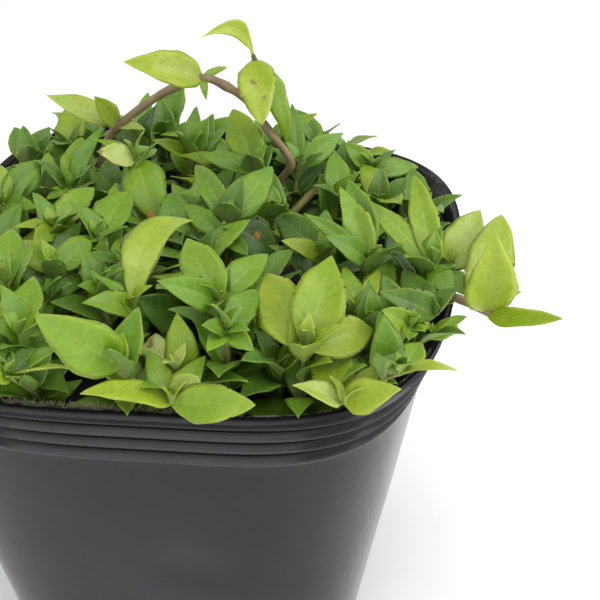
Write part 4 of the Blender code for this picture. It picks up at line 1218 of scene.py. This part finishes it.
def wall_point(turn, share, height, inset):
    """One point of the pot's softly uneven outline at this height."""
    climb = height / POT_HEIGHT
    power = CORNER_POWER_FOOT + (CORNER_POWER_LIP - CORNER_POWER_FOOT) * climb
    cos, sin = math.cos(turn), math.sin(turn)
    reach = (abs(cos) ** power + abs(sin) ** power) ** (-1 / power) * POT_HALF * share - inset
    reach *= 1 + WALL_WOBBLE * climb * math.cos(3 * turn)
    reach += soft_wall(turn, height)
    return reach * cos, reach * sin * POT_DEPTH_RATIO, height


def fine_outline(share, height, inset=0.0):
    """The pot's outline at this height, finely divided."""
    return [wall_point(math.tau * step / FINE_SIDES, share, height, inset) for step in range(FINE_SIDES)]


def ribbed_wall():
    """Height and reach down the outside: the lip, the ribs flaring from their coves, then the plain wall."""
    profile = [(height, (share - 1) * POT_HALF) for height, share in outer_profile()]
    rows = profile[:2]
    for rib in range(RIB_COUNT):
        (top, back), (edge, out) = profile[2 + 2 * rib : 4 + 2 * rib]
        for share in (*np.linspace(0, RIB_EDGE, RIB_ROWS) ** 1.3, 1.0):
            cove = COVES[rib] * math.exp((edge - top) * share / COVE_HEIGHT)
            rows.append((top + (edge - top) * share, back - cove + (out - back) * share**RIB_CURVE))
    foot = profile[2 + 2 * RIB_COUNT :]
    for (high, far), (low, reach) in zip(foot, foot[1:]):
        steps = max(1, round((high - low) / WALL_ROW))
        rows += [(high + (low - high) * k / steps, far + (reach - far) * k / steps) for k in range(steps)]
    return rows + foot[-1:]


def dress_pot():
    """The thin pot with its rounded lip and ribs, cut by its drain holes."""
    rows = ribbed_wall()[::-1]
    lip = POT_HEIGHT
    inside = [(lip, (inner_share(lip) - 1) * POT_HALF)]
    level = lip - 1.0
    while level > FLOOR + 1:
        inside.append((level, (inner_share(level) - 1) * POT_HALF))
        level -= WALL_ROW
    inside.append((FLOOR, (inner_share(FLOOR) - 1) * POT_HALF))
    profile = soften(rows + inside, EDGE_ROUND)
    rings = [fine_outline(1 + reach / POT_HALF, height) for height, reach in profile]
    verts = [Vector(point) for ring in rings for point in ring]
    body = bpy.data.objects.new("pot_fine", mesh_from("pot_fine", verts, ring_faces(len(rings), FINE_SIDES)))
    bpy.context.scene.collection.objects.link(body)
    for hole in range(DRAIN_COUNT):
        turn = math.tau * (hole + 0.5) / DRAIN_COUNT
        place = Vector((math.cos(turn), math.sin(turn), 0)) * DRAIN_RING * MM
        bpy.ops.mesh.primitive_cylinder_add(
            vertices=40, radius=DRAIN_RADIUS * MM, depth=4 * FLOOR * MM, location=place
        )
        cutter = bpy.context.object
        cut = body.modifiers.new("Drain", "BOOLEAN")
        cut.operation = "DIFFERENCE"
        cut.object = cutter
        bpy.context.view_layer.update()
        body.data = bpy.data.meshes.new_from_object(body.evaluated_get(bpy.context.evaluated_depsgraph_get()))
        body.modifiers.clear()
        bpy.data.objects.remove(cutter)
    body.data.materials.clear()
    body.data.shade_smooth()
    body.data.set_sharp_from_angle(angle=math.radians(50))
    mark_grooves(body.data)
    return body


def mark_grooves(mesh):
    """Gives the roots of the ribs, where shade falls, the second material, which paints that shade."""
    foot = outer_profile()[-3][0]
    slots = []
    for face in mesh.polygons:
        climb = (face.center.z / MM - foot) / RIB_HEIGHT
        outer = face.normal.x * face.center.x + face.normal.y * face.center.y > 0
        slots.append(int(outer and 0 < climb < RIB_COUNT and climb % 1 > GROOVE_SHADE_FROM))
    mesh.polygons.foreach_set("material_index", slots)


def mesh_from(name, verts, faces):
    """A mesh in metres from a shape in millimetres, with its faces turned outwards."""
    mesh = bpy.data.meshes.new(name)
    mesh.from_pydata([Vector(vert) * MM for vert in verts], [], faces)
    shape = bmesh.new()
    shape.from_mesh(mesh)
    bmesh.ops.recalc_face_normals(shape, faces=shape.faces)
    shape.to_mesh(mesh)
    shape.free()
    return mesh


def soil_bump(x, y):
    """The finer unevenness of the soil's top."""
    place = Vector((x, y, 0))
    return 0.9 * noise.fractal(place * 0.16, 1.0, 2.0, 5) + 0.35 * noise.noise(place * 1.3)


def dress_soil(rng):
    """The soil with a rough top, and crumbs that lie half sunk in it."""
    rings = []
    heights = [FLOOR + GAP + 0.2] + [SOIL_LEVEL * k / 8 for k in range(1, 8)] + [SOIL_LEVEL - 2.5]
    for height in heights:
        rings.append([Vector(point) for point in fine_outline(inner_share(height), height, SOIL_GAP + 0.1)])
    edge = fine_outline(inner_share(SOIL_LEVEL), SOIL_LEVEL, SOIL_GAP + 0.1)
    for share in np.linspace(1, 0.02, SOIL_FINE_RINGS):
        ring = []
        for x, y, _ in edge:
            x, y = x * share, y * share
            ring.append(Vector((x, y, soil_height(x, y) + soil_bump(x, y))))
        rings.append(ring)
    verts = [point for ring in rings for point in ring]
    faces = ring_faces(len(rings), FINE_SIDES)
    for number in range(CRUMBS):
        turn, far = rng.uniform(0, math.tau), math.sqrt(rng.random()) * 0.98
        x, y, _ = edge[int(turn / math.tau * FINE_SIDES) % FINE_SIDES]
        x, y = x * far, y * far
        size = CRUMB_SIZES[0] + (CRUMB_SIZES[1] - CRUMB_SIZES[0]) * rng.random() ** 2.5
        x, y = x * (1 - size / 45), y * (1 - size / 45)
        centre = Vector((x, y, soil_height(x, y) + soil_bump(x, y) + size * 0.25))
        ball = bmesh.new()
        bmesh.ops.create_icosphere(ball, subdivisions=1, radius=size)
        stretch = Vector((rng.uniform(0.7, 1.4), rng.uniform(0.7, 1.4), rng.uniform(0.5, 0.9)))
        spin = Matrix.Rotation(rng.uniform(0, math.tau), 3, "Z")
        start = len(verts)
        for vert in ball.verts:
            rough = 1 + 0.45 * noise.noise(vert.co * 1.5 / size + Vector((number, 0, 0)))
            verts.append(centre + spin @ Vector([a * b * rough for a, b in zip(vert.co, stretch)]))
        faces += [tuple(start + vert.index for vert in face.verts) for face in ball.faces]
        ball.free()
    peat_faces = len(faces)
    for _ in range(ROOT_HAIRS):
        points, hair_faces = root_hair(rng)
        faces += [tuple(len(verts) + corner for corner in face) for face in hair_faces]
        verts += points
    mesh = mesh_from("soil_fine", verts, faces)
    mesh.polygons.foreach_set("material_index", [int(number >= peat_faces) for number in range(len(faces))])
    return mesh


def root_hair(rng):
    """A fine root that clings to the inside of the front lip and bends over it."""
    turn = ROOT_TURNS[0] + (ROOT_TURNS[1] - ROOT_TURNS[0]) * rng.random() ** ROOT_CROWDING
    height = POT_HEIGHT - rng.uniform(*ROOT_DROPS)
    x, y, _ = wall_point(turn, inner_share(height), height, 0.05)
    point = Vector((x, y, height))
    step = rng.uniform(*ROOT_LENGTHS) / 4
    route = [point]
    lean = Vector((rng.uniform(-1, 1), rng.uniform(0.0, 0.7), rng.uniform(0.0, 1.3)))
    for _ in range(4):
        lean += Vector((rng.uniform(-0.5, 0.5), rng.uniform(-0.1, 0.3), rng.uniform(-0.7, 0.3)))
        point = point + lean.normalized() * step
        route.append(point)
    return tube(route, ROOT_RADIUS)


class Graph:
    """Short ways to write a material's nodes."""

    def __init__(self, name):
        self.material = bpy.data.materials.new(name)
        self.material.use_nodes = True
        self.tree = self.material.node_tree
        self.shader = self.tree.nodes["Principled BSDF"]

    def put(self, socket, value):
        if isinstance(value, bpy.types.NodeSocket):
            self.tree.links.new(value, socket)
        elif value is not None:
            socket.default_value = value

    def node(self, kind, inputs=(), **settings):
        made = self.tree.nodes.new("ShaderNode" + kind)
        for name, value in settings.items():
            setattr(made, name, value)
        for name, value in dict(inputs).items():
            self.put(made.inputs[name], value)
        return made

    def math(self, operation, first, second=None, third=None, clamp=False):
        made = self.node("Math", operation=operation, use_clamp=clamp)
        for socket, value in zip(made.inputs, (first, second, third)):
            self.put(socket, value)
        return made.outputs[0]

    def span(self, value, low, high, new_low=0.0, new_high=1.0):
        """The value mapped smoothly from one range onto another."""
        made = self.node("MapRange", interpolation_type="SMOOTHSTEP")
        for socket, given in zip(made.inputs, (value, low, high, new_low, new_high)):
            self.put(socket, given)
        return made.outputs[0]

    def noise(self, scale, detail=3.0, roughness=0.55, stretch=None):
        place = self.node("TexCoord").outputs["Object"]
        if stretch:
            place = self.node("Mapping", {"Vector": place, "Scale": stretch}).outputs[0]
        inputs = {"Vector": place, "Scale": scale, "Detail": detail, "Roughness": roughness}
        return self.node("TexNoise", inputs).outputs["Fac"]

    def mix(self, share, first, second, blend="MIX"):
        made = self.node("Mix", data_type="RGBA", blend_type=blend)
        self.put(made.inputs["Factor"], share)
        self.put(made.inputs[6], first)
        self.put(made.inputs[7], second)
        return made.outputs[2]

    def ramp(self, value, stops):
        made = self.node("ValToRGB", {"Fac": value})
        band = made.color_ramp
        while len(band.elements) < len(stops):
            band.elements.new(0.5)
        for element, (place, colour) in zip(band.elements, stops):
            element.position = place
            element.color = (*colour, 1)
        return made.outputs["Color"]

    def split(self, attribute):
        found = self.node("Attribute", attribute_name=attribute)
        return self.node("SeparateXYZ", {"Vector": found.outputs["Vector"]}).outputs

    def bump(self, height, strength, distance):
        made = self.node("Bump", {"Height": height, "Strength": strength, "Distance": distance})
        self.put(self.shader.inputs["Normal"], made.outputs["Normal"])

    def finish(self, colour, roughness):
        self.put(self.shader.inputs["Base Color"], colour)
        self.put(self.shader.inputs["Roughness"], roughness)
        return self.material


def leaf_material():
    g = Graph("Leaf")
    u, v, under = g.split("leaf")
    tone, vein, chance = g.split("tone")
    spot, burn, across = g.split("mark")
    away = g.math("ABSOLUTE", v)
    broad, fine, cells = g.noise(120, 3), g.noise(1300, 2), g.noise(4600, 2)
    shade = g.math("ADD", tone, g.math("MULTIPLY", g.math("SUBTRACT", broad, 0.5), 0.5))
    shade = g.math("ADD", shade, g.math("MULTIPLY", g.math("SUBTRACT", chance, 0.5), 0.14))
    shade = g.math("ADD", shade, g.span(g.math("MULTIPLY", u, away), 0.45, 0.95, 0.0, 0.12))
    colour = g.ramp(shade, LEAF_STOPS)
    colour = g.mix(g.math("MULTIPLY", g.span(chance, 0.3, 1.0), 0.22), colour, COOL_LEAF)
    veins = g.math("ABSOLUTE", g.math("SUBTRACT", g.math("FRACT", g.math("ADD", vein, 0.5)), 0.5))
    veins = g.math("MULTIPLY", g.span(veins, 0.0, 0.16, 1.0, 0.0), g.span(away, 0.55, 0.95, 1.0, 0.0))
    rib = g.span(g.math("ABSOLUTE", across), 0.05, 0.3, 1.0, 0.0)
    rib = g.math("MULTIPLY", rib, g.span(u, 0.3, 0.95, 1.0, 0.0))
    rim = g.math("MULTIPLY", g.span(away, 0.9, 1.0), g.span(fine, 0.2, 0.7, 0.5, 1.0))
    colour = g.mix(g.math("MULTIPLY", veins, 0.08), colour, PALE_LEAF)
    colour = g.mix(g.math("MULTIPLY", rib, 0.2), colour, PALE_LEAF)
    colour = g.mix(g.math("MULTIPLY", rim, 0.3), colour, PALE_LEAF)
    colour = g.mix(g.math("MULTIPLY", g.span(u, 0.0, 0.12, 1.0, 0.0), 0.4), colour, PALE_LEAF)
    colour = g.mix(g.math("MULTIPLY", under, 0.35), colour, UNDER_LEAF)
    colour = g.mix(g.span(fine, 0.35, 0.8, 0.0, 0.22), colour, DEEP_LEAF)
    ragged = g.math("MULTIPLY", g.math("SUBTRACT", fine, 0.5), 0.7)
    colour = g.mix(g.span(g.math("ADD", spot, ragged), 0.25, 0.7, 0.0, 0.85), colour, SPOT)
    colour = g.mix(g.span(g.math("ADD", burn, ragged), 0.3, 0.75, 0.0, 0.85), colour, BURN)
    rough = g.math("ADD", g.span(broad, 0.2, 0.8, 0.34, 0.5), g.math("MULTIPLY", under, 0.15))
    grain = g.math("ADD", g.math("MULTIPLY", fine, 0.5), g.math("MULTIPLY", cells, 0.3))
    g.bump(g.math("SUBTRACT", grain, g.math("MULTIPLY", veins, 0.6)), 0.3, 0.00015)
    g.shader.inputs["Specular IOR Level"].default_value = 0.4
    g.shader.inputs["Subsurface Weight"].default_value = 0.3
    g.shader.inputs["Subsurface Radius"].default_value = (0.4, 0.5, 0.06)
    g.shader.inputs["Subsurface Scale"].default_value = 0.0012
    return g.finish(colour, rough)


def stem_material():
    g = Graph("Stem")
    tone, _, chance = g.split("tone")
    streaks = g.noise(420, 4, 0.6, (1, 1, 0.35))
    fine = g.noise(2400, 3)
    shade = g.math("ADD", tone, g.math("MULTIPLY", g.math("SUBTRACT", streaks, 0.5), 0.55))
    colour = g.ramp(shade, STEM_STOPS)
    colour = g.mix(g.span(fine, 0.4, 0.85, 0.0, 0.3), colour, BARK)
    g.bump(g.math("ADD", streaks, g.math("MULTIPLY", fine, 0.4)), 0.35, 0.00015)
    g.shader.inputs["Specular IOR Level"].default_value = 0.35
    return g.finish(colour, g.span(streaks, 0.2, 0.8, 0.45, 0.65))


def plastic_material():
    """Thin black plastic, with dried dirt inside the front of the lip, a scuffed back corner, painted shade
    at the roots of the ribs and a painted highlight along their edges.
    """
    g = Graph("Black plastic")
    band_foot = outer_profile()[-3][0]
    place = g.node("TexCoord").outputs["Object"]
    x, y, z = g.node("SeparateXYZ", {"Vector": place}).outputs
    normal = g.node("NewGeometry").outputs["Normal"]
    level = g.node("VectorMath", {0: place, 1: (1, 1, 0)}, operation="MULTIPLY").outputs["Vector"]
    outward = g.node("VectorMath", {0: normal, 1: level}, operation="DOT_PRODUCT").outputs["Value"]
    broad, grains, fine = g.noise(38, 4), g.noise(520, 3, 0.65), g.noise(1100, 3)
    streaks = g.noise(160, 3, 0.6, (1, 1, 0.12))
    inside = g.span(outward, -0.01, 0.012, 1.0, 0.0)
    dirt = g.math("MULTIPLY", g.span(z, 0.084, 0.0885), g.span(y, -0.035, -0.01, 1.0, 0.0))
    dirt = g.math("MULTIPLY", g.math("MULTIPLY", dirt, inside), g.span(grains, 0.42, 0.6))
    gap = g.node("VectorMath", {0: place, 1: SCUFF_PLACE}, operation="DISTANCE").outputs["Value"]
    scuff = g.math("MULTIPLY", g.span(gap, 0.002, 0.009, 1.0, 0.0), g.span(grains, 0.4, 0.65))
    colour = g.mix(g.span(broad, 0.3, 0.7), PLASTIC, PLASTIC_WORN)
    # Painted shade darkens the root of each rib, under the edge of the one above
    turns = g.math("FRACT", g.math("DIVIDE", g.math("SUBTRACT", z, band_foot * MM), RIB_HEIGHT * MM))
    groove_shade = g.math("MULTIPLY", g.span(turns, *GROOVE_SHADE_PLACE), g.math("GREATER_THAN", z, band_foot * MM))
    groove_shade = g.math("MULTIPLY", groove_shade, g.span(outward, 0.0, 0.012))
    colour = g.mix(groove_shade, colour, GROOVE_PAINTED_SHADE)
    # Painted highlight lightens the lower edge of each rib
    edge = g.math("MULTIPLY", g.span(turns, *EDGE_HIGHLIGHT_PLACE, 1.0, 0.0), g.math("GREATER_THAN", z, band_foot * MM))
    colour = g.mix(g.math("MULTIPLY", edge, g.span(outward, 0.0, 0.012)), colour, RIB_PAINTED_HIGHLIGHT)
    colour = g.mix(g.math("MULTIPLY", dirt, 0.75), colour, DRIED_DIRT)
    colour = g.mix(g.math("MULTIPLY", scuff, 0.7), colour, SCUFFED)
    rough = g.math("ADD", g.span(streaks, 0.2, 0.8, 0.13, 0.22), g.math("MULTIPLY", dirt, 0.4))
    rough = g.math("ADD", rough, g.math("MULTIPLY", g.math("ADD", scuff, groove_shade), 0.3))
    g.shader.inputs["Specular IOR Level"].default_value = 0.3
    relief = g.math("ADD", g.math("MULTIPLY", fine, 0.15), g.math("MULTIPLY", broad, 1.6))
    g.bump(g.math("ADD", relief, g.math("MULTIPLY", dirt, 0.8)), 0.25, 0.0005)
    return g.finish(colour, rough)


# Painted shade: a near-black finish that barely reflects, for the roots of the ribs
def groove_shade_material():
    g = Graph("Rib roots")
    g.shader.inputs["Specular IOR Level"].default_value = 0.08
    return g.finish(GROOVE_PAINTED_SHADE, 0.6)


def soil_material():
    g = Graph("Soil")
    broad, fine = g.noise(260, 5, 0.65), g.noise(1900, 4, 0.7)
    colour = g.ramp(g.math("ADD", g.math("MULTIPLY", broad, 0.6), g.math("MULTIPLY", fine, 0.4)), SOIL_STOPS)
    g.bump(g.math("ADD", broad, g.math("MULTIPLY", fine, 0.6)), 0.9, 0.0006)
    return g.finish(colour, g.span(fine, 0.3, 0.7, 0.75, 0.98))


def root_material():
    g = Graph("Fine roots")
    return g.finish(g.mix(g.noise(900, 2), ROOT, BARK), 0.8)


def place_camera():
    back = Vector((
        math.sin(PHOTO_TURN) * math.cos(PHOTO_TILT),
        -math.cos(PHOTO_TURN) * math.cos(PHOTO_TILT),
        math.sin(PHOTO_TILT),
    ))
    right = Vector((math.cos(PHOTO_TURN), math.sin(PHOTO_TURN), 0))
    up = back.cross(right)
    data = bpy.data.cameras.new("Camera")
    data.sensor_width = SENSOR
    data.lens = PHOTO_FOCAL * SENSOR / (2 * PHOTO_MIDDLE)
    data.clip_start = 0.005
    camera = bpy.data.objects.new("Camera", data)
    bpy.context.scene.collection.objects.link(camera)
    turned = Matrix((right, up, back)).transposed().to_4x4()
    camera.matrix_world = Matrix.Translation((PHOTO_AIM + back * PHOTO_RANGE) * MM) @ turned
    bpy.context.scene.camera = camera


def area_light(name, place, aim, size, power):
    data = bpy.data.lights.new(name, "AREA")
    data.shape = "RECTANGLE"
    data.size, data.size_y = size
    data.energy = power
    lamp = bpy.data.objects.new(name, data)
    bpy.context.scene.collection.objects.link(lamp)
    lamp.location = place
    lamp.rotation_euler = (Vector(aim) - Vector(place)).to_track_quat("-Z", "Y").to_euler()


def fade_world(tree):
    """Surroundings that are brighter at the horizon than overhead."""
    coords = tree.nodes.new("ShaderNodeTexCoord")
    split = tree.nodes.new("ShaderNodeSeparateXYZ")
    fade = tree.nodes.new("ShaderNodeMapRange")
    tree.links.new(coords.outputs["Generated"], split.inputs["Vector"])
    tree.links.new(split.outputs["Z"], fade.inputs["Value"])
    fade.inputs["From Max"].default_value = WORLD_FADE_TOP
    fade.inputs["To Min"].default_value, fade.inputs["To Max"].default_value = WORLD_STRENGTHS
    tree.links.new(fade.outputs["Result"], tree.nodes["Background"].inputs["Strength"])


def place_stage():
    bpy.ops.mesh.primitive_plane_add(size=FLOOR_SIZE, location=(0, 0, 0))
    floor = bpy.context.object
    floor.name = "floor"
    g = Graph("Pale floor")
    floor.data.materials.append(g.finish(g.mix(g.span(g.noise(9, 2), 0.3, 0.7), *FLOOR_SHADES), 0.8))
    world = bpy.data.worlds.new("Studio")
    bpy.context.scene.world = world
    world.use_nodes = True
    world.node_tree.nodes["Background"].inputs["Color"].default_value = (1, 1, 1, 1)
    fade_world(world.node_tree)
    for lamp in LAMPS:
        area_light(*lamp)
    view = bpy.context.scene.view_settings
    view.view_transform = "Standard"
    view.look = "None"


def dress(name, mesh_or_object, materials, nodes):
    """Puts a finished piece into the scene in place of its nodes."""
    piece = mesh_or_object
    if isinstance(piece, bpy.types.Mesh):
        piece = bpy.data.objects.new(name, piece)
    if piece.name not in bpy.context.scene.collection.objects:
        bpy.context.scene.collection.objects.link(piece)
    piece.name = name
    for material in materials:
        piece.data.materials.append(material)
    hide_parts(*nodes)
    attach(piece, "root")
    return piece


def main():
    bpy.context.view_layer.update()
    rng = random.Random(LOOK_SEED)
    place_camera()
    place_stage()
    leaf_look, stem_look = leaf_material(), stem_material()
    soil_look, root_look = soil_material(), root_material()
    plants, thicket = grow_all()
    for plant in plants:
        skin = dress_plant(rng, thicket, plant)
        name = plant.name + "_fine"
        dress(name, skin.mesh(name), (leaf_look, stem_look), [plant.name])
    dress("pot_fine", dress_pot(), (plastic_material(), groove_shade_material()), ["pot"])
    dress("soil_fine", dress_soil(rng), (soil_look, root_look), ["soil"])
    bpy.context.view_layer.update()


main()
